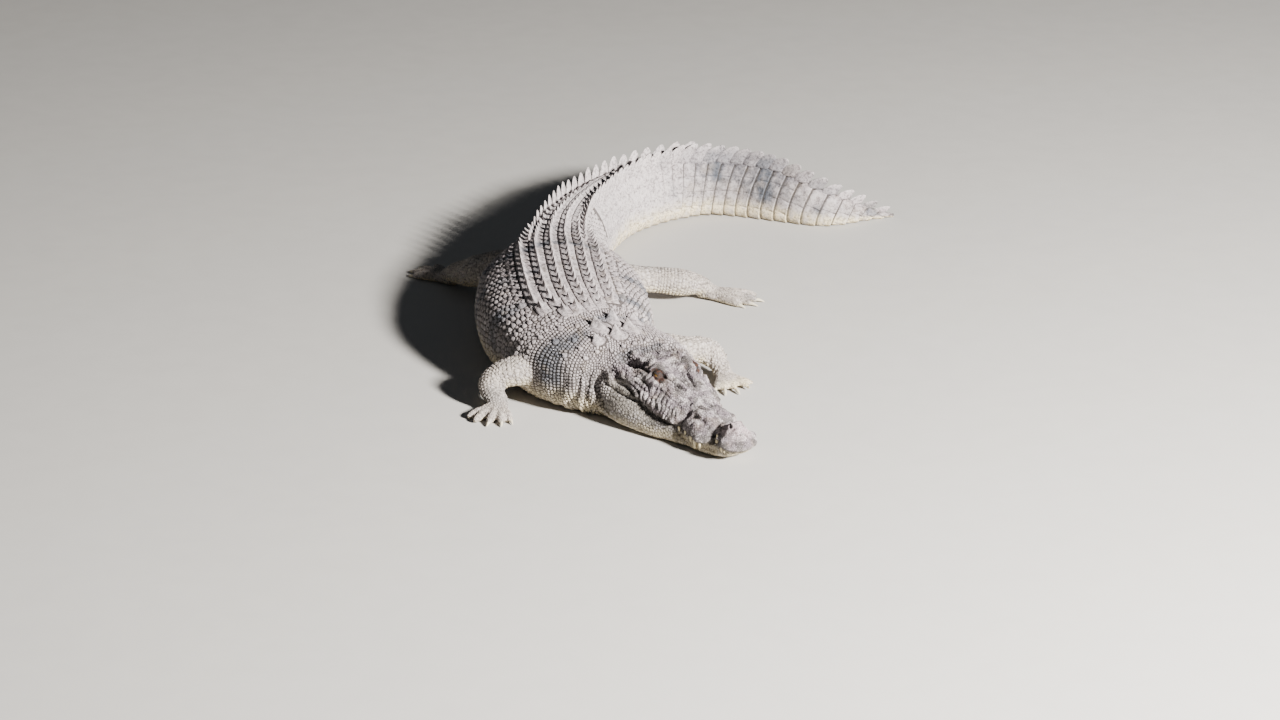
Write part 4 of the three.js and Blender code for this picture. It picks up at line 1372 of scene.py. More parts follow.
def fill_bare_skin(roots, sizes, bare):
    """Scatters scales over the head, and wherever the rows leave the skin bare."""
    rng = np.random.default_rng(23)
    co = roots.co
    place = Place(co)
    order = rng.permutation(len(co))
    open_skin = (bare[order] < 0.4) & (co[order, 2] > 0.0005)
    order = order[open_skin]
    f = place.head[:, 0]
    head = order[place.region[order] == HEAD]
    spots = co[head]
    h = place.head[head]
    shown = np.stack([(f[head] + 0.1) / 1.12, 0.5 + np.arctan2(h[:, 1], h[:, 2] - 0.17) / 6.5], 1)
    low = h[:, 2] < lip_height(h[:, 0])
    along = np.tile(-FORWARD, (len(head), 1))
    rough = lattice_noise(spots, 0.05, 41)
    _, crease, mouth = head_forms(h)
    clear = (crease < 0.35) & (mouth > 0.02)
    for name, part in (("scales_jaw", low & clear), ("scales_head", ~low & clear)):
        size = head_scale(h[part]) * (0.85 + 0.3 * rng.random(part.sum())) * sizes.head_scale / 0.012
        height = (0.0006 + 0.0008 * rough[part]) * (0.6 if name == "scales_jaw" else 1.0)
        roots.grow(
            spots[part], along[part], shown[part], name, size=size, height=height, rank=5, reach=0.01
        )
    body = order[(place.region[order] == BODY) & (place.s[order] > 0)]
    between_rows = (np.abs(place.side[body]) < crest_spread(place.s[body])) & (place.level[body] > 0.6)
    body = body[(place.s[body] < WHORL_START - 0.004) & ~(between_rows & (place.s[body] > TAIL_START))]
    s = place.s[body]
    turn = np.arctan2(place.side[body], co[body, 2] - waist_height(s))
    shown = np.stack([s / SPINE_LENGTH, 0.5 + 0.48 * turn / math.pi], 1)
    size = np.interp(s, (0, 0.33, 0.5, 1.7, 3.0, 3.4), (0.0062, 0.0075, 0.009, 0.011, 0.008, 0.004))
    along = flat_along(co[body], s)
    roots.grow(co[body], along, shown, "scales_between", size=size, height=0.0016, rank=6, reach=0.01)
    tubes = all_tubes()
    for number, name in enumerate(LIMBS):
        for region, size in ((LEG, 0.0068), (FOOT, 0.0042)):
            part = order[(place.region[order] == region) & (place.limb[order] == number)]
            part = part[(region == FOOT) | (place.t[part] < RINGED_FROM)]
            if not len(part):
                continue
            along = np.zeros((len(part), 3))
            for index in np.unique(place.tube[part]):
                on = place.tube[part] == index
                along[on] = tubes[index][0].along(place.t[part][on])
            shown = np.stack([place.t[part] * 0.9 + 0.05, place.turn[part] / 6.6 + 0.5], 1)
            roots.grow(co[part], along, shown, f"scales_{name}", size=size, height=0.0014, rank=6, reach=0.01)


# ------------------------------------------------------------------ scales as tiles
# Rings of a tile: share of its reach, and rise. A rise of 0 at the rim gives it the painted groove shade and
# dirt.
RINGS = {
    8: ((1.0, 0.0), (0.88, 0.72), (0.52, 1.0)),
    10: ((1.0, 0.0), (0.9, 0.62), (0.72, 0.9), (0.38, 1.0)),
    12: ((1.0, 0.0), (0.92, 0.6), (0.78, 0.86), (0.4, 1.0)),
}
SINK = 0.002  # how far the rim of a scale goes into the skin
PATCH = 0.0014  # half the width of a scale's patch on the bake map
OFF_FLOOR = 0.0005
CAST_FROM = 0.02  # height over a scale's root from which the skin under it is sought
CAST_REACH = 0.045
OUTLINE_POWER = 10  # how square the corners between neighbours are


def neighbours(roots, count=13):
    tree = tree_of(roots.spot)
    near = np.zeros((len(roots.spot), count), int)
    for i, spot in enumerate(roots.spot):
        found = [j for _, j, _ in tree.find_n(spot, count + 1) if j != i][:count]
        near[i, : len(found)] = found
        near[i, len(found) :] = found[0]
    return near


def outline_reach(roots, chosen, near, angles, gap):
    """The distance from each root to its scale's edge, at each angle round it."""
    spot, normal, along = roots.spot[chosen], roots.normal[chosen], roots.along[chosen]
    across = np.cross(normal, along)
    others = near[chosen]
    offset = roots.spot[others] - spot[:, None]
    u = (offset * along[:, None]).sum(2)
    v = (offset * across[:, None]).sum(2)
    away = np.maximum(np.linalg.norm(offset, axis=2), 0.002)
    facing = (roots.normal[others] * normal[:, None]).sum(2) > 0
    share = roots.size[chosen][:, None] / (roots.size[chosen][:, None] + roots.size[others])
    bearing = np.arctan2(v, u)
    half = away * share - gap - roots.seam[chosen][:, None] * np.cos(bearing) ** 2
    half = np.where(facing, np.maximum(half, 0.0008), 1.0)
    lean = np.maximum(np.cos(angles[None, None] - bearing[:, :, None]), 0)
    cap = roots.size[chosen] * 1.28
    total = ((lean / half[:, :, None]) ** OUTLINE_POWER).sum(1) + (1 / cap[:, None]) ** OUTLINE_POWER
    return total ** (-1 / OUTLINE_POWER)


def make_tiles(roots, chosen, near, detail, gap):
    """Vertices, corners, face sizes and per-vertex values of one kind of tile."""
    angles = np.arange(detail) * 2 * math.pi / detail
    reach = outline_reach(roots, chosen, near, angles, gap)
    spot, normal, along = roots.spot[chosen], roots.normal[chosen], roots.along[chosen]
    across = np.cross(normal, along)
    rings = RINGS[detail]
    size = roots.size[chosen][:, None]
    height, keel, lift = (value[chosen][:, None] for value in (roots.height, roots.keel, roots.lift))
    u = np.stack([reach * np.cos(angles) * part for part, _ in rings], 1)
    v = np.stack([reach * np.sin(angles) * part for part, _ in rings], 1)
    raised = np.stack([np.full(reach.shape, high) for _, high in rings], 1)
    count = len(chosen)
    u = np.concatenate([u.reshape(count, -1), np.zeros((count, 1))], 1)
    v = np.concatenate([v.reshape(count, -1), np.zeros((count, 1))], 1)
    raised = np.concatenate([raised.reshape(count, -1), np.ones((count, 1))], 1)
    ramp = np.clip(0.5 + 0.56 * u / size, 0, 1) ** 1.3 * (1 - smoothstep(0.8, 1.05, u / size))
    crest = np.maximum(0, 1 - np.abs(v) / (0.3 * size)) ** 1.1
    crest = crest + 0.22 * np.maximum(0, 1 - np.abs(v) / (0.9 * size))
    z = raised * (height + lift * np.clip(u / size, -0.6, 1) + keel * crest * ramp)
    z = np.where(raised > 0, np.maximum(z, 0.0005), -SINK)
    flat = spot[:, None] + u[:, :, None] * along[:, None] + v[:, :, None] * across[:, None]
    start = (flat + normal[:, None] * CAST_FROM).reshape(-1, 3)
    down = np.repeat(-normal, flat.shape[1], 0)
    drop = np.full(len(start), CAST_FROM)
    cast = roots.tree.ray_cast
    for i in range(len(start)):
        far = cast(start[i], down[i], CAST_REACH)[3]
        if far is not None:
            drop[i] = far
    # A tile bends with the skin under it, but not down into a crease.
    bend = CAST_FROM - drop.reshape(u.shape)
    most = 0.3 * np.hypot(u, v) + 0.0006
    bend = np.clip(bend, -most, most)
    placed = flat + normal[:, None] * (z + bend)[:, :, None]
    placed[:, :, 2] = np.maximum(placed[:, :, 2], OFF_FLOOR)
    ridge = np.clip(crest * ramp, 0, 1) * np.clip(keel / 0.01, 0, 1)
    root = roots.root[chosen][:, None]
    spread = np.stack([u, v], 2) / np.maximum(np.hypot(u, v).max(1), 1e-6)[:, None, None]
    uv = root + spread * PATCH
    quads = ring_quads(len(rings), detail)
    base = (len(rings) - 1) * detail
    hub = len(rings) * detail
    tips = [(base + i, base + (i + 1) % detail, hub) for i in range(detail)]
    corners = np.array([c for quad in quads for c in quad] + [c for tip in tips for c in tip])
    faces = np.array([4] * len(quads) + [3] * len(tips))
    step = flat.shape[1]
    loops = (corners[None] + (np.arange(count) * step)[:, None]).ravel()
    return {
        "vertices": placed.reshape(-1, 3), "loops": loops, "faces": np.tile(faces, count),
        "rise": raised.ravel(), "ridge": ridge.ravel(), "uv": uv.reshape(-1, 2),
        "scale": np.repeat(chosen, step),
    }


def tile_piece(name, groups, colours_of_scales):
    """One mesh from groups of tiles."""
    vertices = np.concatenate([g["vertices"] for g in groups])
    starts = np.cumsum([0] + [len(g["vertices"]) for g in groups[:-1]])
    loops = np.concatenate([g["loops"] + start for g, start in zip(groups, starts)])
    faces = np.concatenate([g["faces"] for g in groups])
    piece = quad_mesh(name, vertices, loops, faces)
    mesh = piece.data
    rise = np.concatenate([g["rise"] for g in groups])
    ridge = np.concatenate([g["ridge"] for g in groups])
    scale = np.concatenate([g["scale"] for g in groups])
    # Keels a little paler: dust and a painted highlight.
    tint = colours_of_scales[scale] * (1 + 0.12 * ridge[:, None])
    float_attribute(mesh, "rise", rise)
    float_attribute(mesh, "ridge", ridge)
    colour_attribute(mesh, "tint", np.clip(tint, 0, 1))
    uv = np.concatenate([g["uv"] for g in groups])
    low, high = uv.min(0), uv.max(0)
    if (low < 0).any() or (high > 1).any():
        uv = 0.01 + 0.98 * (uv - low) / np.maximum(high - low, 1e-6)
    bake_map(mesh, uv)
    return piece


# ------------------------------------------------------------------ plates laid in rows
# Lines of a plate's grid, along it and across it, for keeled and for plain plates.
U_STEPS = (0, 0.035, 0.12, 0.25, 0.4, 0.55, 0.7, 0.82, 0.9, 0.955, 1)
V_STEPS = (0, 0.035, 0.16, 0.3, 0.37, 0.43, 0.47, 0.5, 0.53, 0.57, 0.63, 0.7, 0.84, 0.965, 1)
U_PLAIN = (0, 0.04, 0.25, 0.5, 0.75, 0.93, 0.965, 1)
V_PLAIN = (0, 0.035, 0.25, 0.5, 0.75, 0.965, 1)


class Plates:
    """Scutes laid edge to edge on the skin, each a grid that bends with it."""

    def __init__(self, roots):
        self.tree = roots.tree
        self.vertices, self.faces, self.rise, self.ridge, self.uv = [], [], [], [], []

    def lay(self, stations, arcs, lean, height, keel, slope, soft_sides=False, rounded=False):
        """One plate. Stations run back along the spine, and arcs out from the middle of the back."""
        u = np.array(U_STEPS if keel else U_PLAIN)
        v = np.array(V_STEPS if keel else V_PLAIN)
        grid = []
        for share in u:
            s = stations[0] + (stations[1] - stations[0]) * share
            row = arcs[0] + (arcs[1] - arcs[0]) * v
            table, _, tall = girth_table(s)
            level = np.interp(np.abs(row), table, tall) / max(float(tall[0]), 0.01)
            shifted = s + lean * level**1.5
            along = np.minimum(shifted, SPINE_LENGTH - 0.004)
            grid.extend(section_at(float(a), np.array([b])) for a, b in zip(along, row))
        spots, facing = [], []
        for point in np.concatenate(grid):
            spot, normal, _, _ = self.tree.find_nearest(Vector(point))
            spots.append(spot[:])
            facing.append(normal[:])
        spots, facing = np.array(spots), np.array(facing)
        facing = unit(facing + 1.5 * facing.mean(0))
        uu, vv = (a.ravel() for a in np.meshgrid(u, v, indexing="ij"))
        off = np.abs(vv - 0.5) * 2
        ramp = np.clip((uu - 0.22) / 0.68, 0, 1) ** 1.1
        crest = np.clip(1 - off / 0.32, 0, 1) + 0.12 * (1 - off**2)
        z = height * (1 - 0.35 * off**2) + slope * uu**1.5 + keel * crest * ramp
        edge_u = np.minimum(uu / 0.05, (1 - uu) / 0.035)
        edge_v = (1 - off) / 0.07
        edge = np.clip(np.minimum(edge_u, edge_v), 0, 1)
        if rounded:
            edge = np.clip((1 - np.hypot(uu * 2 - 1, off)) / 0.1, 0, 1)
        if soft_sides:
            z = z * (0.45 + 0.55 * np.clip(edge_v, 0, 1))
            edge = np.clip(edge_u, 0, 1)
        raised = edge**0.7
        z = z * raised - SINK * (1 - raised)
        placed = spots + facing * z[:, None]
        placed[:, 2] = np.maximum(placed[:, 2], OFF_FLOOR)
        start = len(self.vertices)
        self.vertices.extend(placed)
        # Low rise at the edges and on soft sides gives the plates painted groove shade and dirt there.
        self.rise.extend(raised * np.where(soft_sides, 0.55 + 0.45 * np.clip(edge_v, 0, 1), 1.0))
        self.ridge.extend(np.clip(crest * ramp, 0, 1) * (keel > 0))
        middle = sum(stations) / 2 / SPINE_LENGTH
        girth = half_girth(min(sum(stations) / 2, SPINE_LENGTH - 0.01))
        root = np.array([middle, 0.5 + 0.48 * sum(arcs) / 2 / girth])
        self.uv.extend(root + np.stack([uu - 0.5, vv - 0.5], 1) * 2 * PATCH)
        wide = len(v)
        turned = arcs[1] < arcs[0]
        for i in range(len(u) - 1):
            for j in range(wide - 1):
                a = start + i * wide + j
                quad = (a, a + wide, a + wide + 1, a + 1)
                self.faces.append(quad[::-1] if turned else quad)

    def piece(self, name, colours):
        mesh_piece = new_mesh(name, self.vertices, self.faces)
        mesh = mesh_piece.data
        float_attribute(mesh, "rise", self.rise)
        float_attribute(mesh, "ridge", self.ridge)
        tint = hide_tint(colours, Place(np.array(self.vertices)))
        # Keels paler with the dust colour, partly a painted highlight.
        pale = np.clip(np.array(self.ridge), 0, 1) * 0.35
        colour_attribute(mesh, "tint", blend(tint, colours.dust_and_highlight, pale))
        bake_map(mesh, self.uv)
        return mesh_piece


def lay_nape(plates):
    """The six large scutes behind the head."""
    for s, arc, size in NUCHALS:
        for side in (1, -1):
            arcs = (side * (arc - size), side * (arc + size))
            plates.lay((s - size, s + size), arcs, 0.0, 0.005, size * 0.72, 0.003, rounded=True)


def lay_shield(plates, sizes):
    """Rows of keeled scutes down the back."""
    rng = np.random.default_rng(41)
    pitch = sizes.scute_pitch
    for k in range(SCUTE_ROWS):
        s = SCUTE_START + (k - 0.5) * pitch
        wide = shield_width(s, pitch)
        for side in (1, -1):
            for j in range(shield_half(k)):
                shift = rng.normal(0, 0.0015, 2)
                stations = (s + shift[0] - 0.001, s + pitch - 0.0012 + shift[0])
                arcs = (side * (j * wide + 0.0008), side * ((j + 1) * wide - 0.0008))
                keel = sizes.keel * (0.85 + 0.2 * rng.random())
                plates.lay(stations, arcs, 0.0, 0.0028, keel, 0.003)


def lay_saddle(plates, sizes):
    """Plates between the two rows of the crest, keeled near the hips and flat further back."""
    pitch = sizes.scute_pitch
    for s in np.arange(SCUTE_START + (SCUTE_ROWS - 0.5) * pitch, CREST_MERGE - 0.05, pitch):
        middle = s + pitch / 2
        spread = float(crest_spread(middle)) - 0.004
        keel = sizes.keel * float(np.interp(middle, (1.3, 1.6, 2.0), (0.8, 0.4, 0.0)))
        count = 2 if spread > 0.05 else 1
        for side in (1, -1):
            for j in range(count):
                arcs = (side * (j * spread / count + 0.0006), side * ((j + 1) * spread / count - 0.0006))
                plates.lay((s, s + pitch - 0.001), arcs, 0.0, 0.002, keel, 0.003)


WHORL_LEVELS = (0.76, 0.5, 0.24)


def lay_whorls(plates, sizes):
    """Rings of tall plates round the rear of the tail, each over the next."""
    rng = np.random.default_rng(43)
    pitch = sizes.scute_pitch
    for s in np.arange(WHORL_START, SPINE_LENGTH - 0.03, pitch):
        middle = s + pitch / 2
        table, _, tall = girth_table(middle)
        spread = float(crest_spread(middle))
        foot = max(spread - 0.006, 0.002)
        top = float(np.interp(foot, table, tall))
        levels = WHORL_LEVELS if middle < 2.95 else (0.5,)
        edges = [foot]
        for level in levels:
            edges.append(float(np.interp(-level * top, -tall, table)) + rng.normal(0, 0.0015))
        under = float(np.interp(-0.006, -tall, table))
        edges = [*edges, max(under, edges[-1] + 0.01), table[-1]]
        for side in (1, -1):
            for inner, outer in zip(edges[:-1], edges[1:]):
                arcs = (side * inner, side * outer)
                plates.lay((s + 0.0024, s + pitch - 0.0024), arcs, 0.05, 0.0012, 0.0, 0.0072, soft_sides=True)


# ------------------------------------------------------------------ the tail's crest
FLAP_SPLAY = 0.2  # how far the tip of a flap leans out, in its heights


def crest_stations():
    return np.arange(1.085, 3.385, 0.058)


# Levels of a flap's rings, in heights of the flap, from under the skin to near its tip.
FLAP_RINGS = (-0.2, 0.0, 0.12, 0.26, 0.42, 0.58, 0.72, 0.84, 0.93, 0.985)


def flap_rings(s, side, spread, height, long, thick):
    """Rings round one upright flap, from under the skin to its rounded tip."""
    back = flat_along(np.zeros((1, 3)), np.array([s]))[0]
    out = np.array([back[1], -back[0], 0.0]) * side
    _, across, tall = girth_table(s)
    foot = body_point(s, side * spread, float(np.interp(spread, across[:UPPER_HALF], tall[:UPPER_HALF])))
    up = np.array([0, 0, 1.0]) + out * FLAP_SPLAY
    turns = circle(20)
    rings = []
    joined = float(smoothstep(0.03, 0.0, spread))
    lean = (0.34 + 0.4 * joined) * height + 0.004
    for y in FLAP_RINGS:
        part = max(y, 0.0)
        half = 0.5 * long * (1 - part ** (2.6 + joined)) ** 0.6 * (1 + 0.1 * math.sin(math.pi * part))
        flat = 0.5 * thick * (1 + 1.6 * joined * (1 - part) ** 3) * (1 - 0.72 * part) * (1 - part**6) ** 0.5
        shift = lean * part**1.15
        x = np.sign(np.cos(turns)) * np.abs(np.cos(turns)) ** 0.8 * half + shift
        w = np.sin(turns) * flat
        rings.append(foot + back * x[:, None] + out * w[:, None] + up * (y * height))
    return rings


# ------------------------------------------------------------------ materials
class Nodes:
    """Builds a material's node tree."""

    def __init__(self, name):
        self.material = bpy.data.materials.new(name)
        self.material.use_nodes = True
        self.tree = self.material.node_tree
        self.shader = self.tree.nodes["Principled BSDF"]

    def add(self, kind, **values):
        node = self.tree.nodes.new(kind)
        for name, value in values.items():
            setattr(node, name, value)
        return node

    def link(self, source, target):
        self.tree.links.new(source, target)

    def put(self, socket, value):
        if isinstance(value, bpy.types.NodeSocket):
            self.link(value, socket)
        else:
            socket.default_value = value

    def attribute(self, name, output="Fac"):
        return self.add("ShaderNodeAttribute", attribute_name=name).outputs[output]

    def place(self):
        return self.add("ShaderNodeTexCoord").outputs["Object"]

    def noise(self, scale, detail=4.0, roughness=0.6):
        node = self.add("ShaderNodeTexNoise")
        self.link(self.place(), node.inputs["Vector"])
        node.inputs["Scale"].default_value = scale
        node.inputs["Detail"].default_value = detail
        node.inputs["Roughness"].default_value = roughness
        return node.outputs["Fac"]

    def cells(self, scale, feature="DISTANCE_TO_EDGE"):
        node = self.add("ShaderNodeTexVoronoi", feature=feature)
        self.link(self.place(), node.inputs["Vector"])
        node.inputs["Scale"].default_value = scale
        return node.outputs["Distance"]

    def ramp(self, value, low, high, to_low=0.0, to_high=1.0):
        node = self.add("ShaderNodeMapRange", interpolation_type="SMOOTHSTEP")
        self.link(value, node.inputs["Value"])
        for name, number in (("From Min", low), ("From Max", high), ("To Min", to_low), ("To Max", to_high)):
            node.inputs[name].default_value = number
        return node.outputs["Result"]

    def math(self, operation, first, second):
        node = self.add("ShaderNodeMath", operation=operation)
        self.put(node.inputs[0], first)
        self.put(node.inputs[1], second)
        return node.outputs[0]

    def mix(self, share, first, second, kind="MIX"):
        node = self.add("ShaderNodeMix", data_type="RGBA", blend_type=kind)
        self.put(node.inputs["Factor"], share)
        for socket, value in ((node.inputs[6], first), (node.inputs[7], second)):
            self.put(socket, (*value, 1.0) if isinstance(value, tuple) else value)
        return node.outputs[2]

    def colour(self, value):
        self.link(value, self.shader.inputs["Base Color"])

    def roughness(self, value):
        self.link(value, self.shader.inputs["Roughness"])

    def bump(self, height, distance, strength=1.0):
        node = self.add("ShaderNodeBump")
        node.inputs["Distance"].default_value = distance
        node.inputs["Strength"].default_value = strength
        self.link(height, node.inputs["Height"])
        self.link(node.outputs["Normal"], self.shader.inputs["Normal"])


def hide_material(name, colours, pits=260.0, groove_shade_and_dirt=0.85):
    """Dry horny hide: tinted by its place, darkened in the grooves by painted shade and dirt, and paler on
    top by dust and a painted highlight.
    """
    nodes = Nodes(name)
    tint = nodes.attribute("tint", "Color")
    rise = nodes.attribute("rise")
    fine = nodes.noise(420.0, 5.0, 0.7)
    broad = nodes.noise(34.0, 4.0, 0.6)
    shade = nodes.mix(nodes.ramp(fine, 0.3, 0.72, 0.0, 1.0), (0.58, 0.56, 0.55), (1.2, 1.2, 1.2))
    shown = nodes.mix(1.0, tint, shade, "MULTIPLY")
    specks = nodes.ramp(nodes.noise(105.0, 3.0, 0.55), 0.36, 0.56)
    speck = nodes.mix(specks, (0.5, 0.49, 0.5), (1.08, 1.08, 1.08))
    shown = nodes.mix(1.0, shown, speck, "MULTIPLY")
    # Dust on the raised tops of the scales, which also serves as a painted highlight there.
    top_dust_and_highlight = nodes.math("MULTIPLY", nodes.ramp(broad, 0.42, 0.68, 0.0, 0.55), nodes.ramp(rise, 0.5, 1.0))
    top_dust_and_highlight = nodes.math("MULTIPLY", top_dust_and_highlight, nodes.ramp(tint, 0.03, 0.2))
    shown = nodes.mix(top_dust_and_highlight, shown, tuple(colours.dust_and_highlight))
    # Painted shade and dirt: the groove colour darkens the low parts of the scales and the skin between them.
    deep = nodes.ramp(rise, 0.0, 0.62, groove_shade_and_dirt, 0.0)
    shown = nodes.mix(deep, shown, tuple(colours.groove))
    nodes.colour(shown)
    nodes.roughness(nodes.ramp(nodes.noise(90.0), 0.3, 0.7, 0.62, 0.9))
    nodes.shader.inputs["Specular IOR Level"].default_value = 0.35
    cracks = nodes.ramp(nodes.cells(pits), 0.0, 0.12)
    relief = nodes.math("ADD", nodes.math("MULTIPLY", cracks, 0.35), nodes.math("MULTIPLY", fine, 0.8))
    relief = nodes.math("ADD", relief, nodes.math("MULTIPLY", nodes.noise(130.0, 3.0), 1.2))
    nodes.bump(relief, 0.0016, 0.85)
    return nodes.material


def horn_material(name, base, tip, wet=0.35):
    """Horn or tooth: streaked along its length and darker or paler at the tip."""
    nodes = Nodes(name)
    share = nodes.attribute("rise")
    streak = nodes.noise(240.0, 4.0, 0.6)
    shown = nodes.mix(share, tuple(base), tuple(tip))
    shown = nodes.mix(nodes.ramp(streak, 0.35, 0.7, 0.0, 0.5), shown, tuple(c * 0.55 for c in base))
    nodes.colour(shown)
    nodes.roughness(nodes.ramp(nodes.noise(150.0), 0.3, 0.7, wet, wet + 0.22))
    nodes.bump(streak, 0.0006, 0.6)
    return nodes.material


def eye_material(name):
    """A wet amber eye, with its pupil and iris in the mesh's own tint."""
    nodes = Nodes(name)
    tint = nodes.attribute("tint", "Color")
    fleck = nodes.ramp(nodes.noise(900.0, 3.0), 0.35, 0.65, 0.7, 1.2)
    shade = nodes.add("ShaderNodeCombineColor")
    for socket in ("Red", "Green", "Blue"):
        nodes.link(fleck, shade.inputs[socket])
    nodes.colour(nodes.mix(1.0, tint, shade.outputs["Color"], "MULTIPLY"))
    nodes.roughness(nodes.ramp(nodes.noise(300.0), 0.3, 0.7, 0.04, 0.1))
    nodes.shader.inputs["Coat Weight"].default_value = 1.0
    nodes.shader.inputs["Coat Roughness"].default_value = 0.03
    nodes.bump(nodes.noise(500.0), 0.0001, 0.2)
    return nodes.material


def floor_material(name, colour):
    nodes = Nodes(name)
    tone = nodes.mix(nodes.noise(1.5), tuple(c * 0.97 for c in colour), tuple(colour))
    nodes.colour(tone)
    nodes.roughness(nodes.ramp(nodes.noise(8.0), 0.3, 0.7, 0.75, 0.9))
    return nodes.material


# ------------------------------------------------------------------ eyes, teeth and claws
def eyeball_mesh(name, side, colours):
    """An eyeball turned to its gaze, with a slit pupil and a dark rim to the iris."""
    slit, rise = eye_axes()
    gaze, slit, rise = (axis * (1, side, 1) for axis in (EYE_GAZE, slit, rise))
    centre = EYE_PLACE * (1, side, 1)
    rows, columns = 72, 96
    angles = np.linspace(0, math.pi, rows)
    turns = circle(columns)
    angle, turn = (a.ravel() for a in np.meshgrid(angles[1:-1], turns, indexing="ij"))
    local = np.stack([np.sin(angle) * np.cos(turn), np.sin(angle) * np.sin(turn), np.cos(angle)], 1)
    local = np.vstack([local, [[0, 0, 1], [0, 0, -1]]])
    swell = 1 + 0.05 * np.clip((local[:, 2] - 0.72) / 0.28, 0, 1) ** 0.5
    turned = slit * local[:, :1] + rise * local[:, 1:2] + gaze * local[:, 2:]
    spot = centre + turned * swell[:, None] * EYE_SIZE
    vertices = head_point(spot[:, 0], spot[:, 1], spot[:, 2])
    faces = []
    for r in range(rows - 3):
        for i in range(columns):
            j = (i + 1) % columns
            faces.append((r * columns + i, (r + 1) * columns + i, (r + 1) * columns + j, r * columns + j))
    top, bottom = len(vertices) - 2, len(vertices) - 1
    last = (rows - 3) * columns
    for i in range(columns):
        j = (i + 1) % columns
        faces.append((top, i, j))
        faces.append((bottom, last + j, last + i))
    if side > 0:
        faces = [face[::-1] for face in faces]
    piece = new_mesh(name, vertices, faces)
    away = np.hypot(local[:, 0], local[:, 1])
    front = local[:, 2] > 0
    bearing = np.arctan2(local[:, 1], local[:, 0])
    streak = lattice_noise(np.stack([bearing * 3, away * 2, away * 0], 1), 0.16, 51)
    tint = np.tile(np.array(colours.iris), (len(local), 1)) * (0.7 + 0.6 * streak)[:, None]
    rim = smoothstep(0.52, 0.6, away) * (1 - smoothstep(0.66, 0.72, away))
    tint = blend(tint, tuple(c * 0.2 for c in colours.iris), rim)
    tint = blend(tint, tuple(c * 0.5 for c in colours.iris), smoothstep(0.66, 0.74, away))
    pupil = (np.abs(local[:, 0]) < 0.075 * np.sqrt(np.clip(1 - (local[:, 1] / 0.5) ** 2, 0, 1))) & front
    tint[pupil] = (0.004, 0.004, 0.004)
    colour_attribute(piece.data, "tint", tint)
    return piece


UPPER_TEETH = [
    (0.87, 0.024, 0.014), (0.71, 0.034, 0.018), (0.665, 0.05, 0.024), (0.62, 0.03, 0.018),
    (0.52, 0.026, 0.016),
]
LOWER_TEETH = [(0.8, 0.034, 0.018)]
SMALL_TEETH = [(0.9, 0.016, 0.011), (0.57, 0.022, 0.013)]
UPPER_TOOTH_LINE = 0.92
LOWER_TOOTH_LINE = 0.78


def tooth_rings(spec, side, inset, direction):
    """Rings of a slightly curved cone that stands in the lip."""
    forward, length, width = spec
    rings = []
    turns = circle(14)
    for y in np.linspace(-0.35, 1, 12):
        part = max(y, 0)
        radius = width * 0.5 * (1 - part**1.6) ** 0.75 + width * 0.02
        bend = -0.16 * length * part * part
        along = forward + bend + radius * np.cos(turns)
        out = side * (inset - 0.004 * part + 0.85 * radius * np.sin(turns))
        rings.append(head_point(along, out, lip_height(forward) + direction * y * length))
    return rings


def claw_rings(root, direction, length, claw):
    """Rings of a curved horn past the tip of a digit, in metres."""
    tip = (root + direction * length) * MM
    rings = []
    turns = circle(16)
    across = np.cross([0, 0, 1], direction)
    for y in np.linspace(-0.2, 1, 16):
        part = np.clip(y, 0, 1)
        long = y * claw
        drop = 9.6 - 1.5 * part - 5.2 * part**2.2
        wide = 5.9 * (1 - part**1.8) ** 0.8 * (1 - 0.18 * part) + 0.7
        tall = 6.4 * (1 - part**2.0) ** 0.8 * (1 - 0.2 * part) + 0.8
        low = np.where(np.cos(turns) < 0, 0.78, 1.0)
        middle = tip + direction * long * MM
        middle = middle + np.array([0, 0, max(drop, tall * 0.8 + 0.5)]) * MM
        ring = middle + across * (np.sin(turns) * wide * MM)[:, None]
        ring = ring + np.array([0, 0, 1.0]) * (np.cos(turns) * low * tall * MM)[:, None]
        ring[:, 2] = np.maximum(ring[:, 2], 0.0004)
        rings.append(ring)
    return rings


def loft_piece(name, many):
    """One piece of several lofts. The attribute rise runs from root to tip."""
    vertices, faces, rise = [], [], []
    for rings in many:
        add_loft(vertices, faces, rings)
        levels = np.repeat(np.linspace(0, 1, len(rings)), len(rings[0]))
        rise.extend([*levels, 0.0, 1.0])
    piece = new_mesh(name, vertices, faces)
    face_outwards(piece.data)
    float_attribute(piece.data, "rise", rise)
    return piece


def finish_piece(piece, material, slot, *replaced):
    """Gives a piece its material, hangs it under the root empty and hides the solids that it stands for. The
    slot is not used.
    """
    piece.data.materials.append(material)
    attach(piece, "root")
    if replaced:
        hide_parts(*replaced)


FLESH = ["head", "lower_jaw", "neck", "trunk", "ear_flap_right", "ear_flap_left"]
FLESH += [f"tail_{i}" for i in range(1, 7)]
FLESH += [f"{name}_{part}" for name, limb in LIMBS.items() for part in (*limb["parts"], "foot")]


# ------------------------------------------------------------------ settings
def length_setting(name, description, default):
    return FloatProperty(name=name, description=description, default=default, min=0.0, unit="LENGTH")


def colour_setting(name, description, text):
    return FloatVectorProperty(
        name=name, description=description, default=srgb(text), size=3, min=0.0, max=1.0, subtype="COLOR"
    )


def place_setting(name, description, default):
    return FloatVectorProperty(
        name=name, description=description, default=default, size=3, subtype="TRANSLATION"
    )


def power_setting(name, description, default):
    return FloatProperty(name=name, description=description, default=default, min=0.0, unit="POWER")


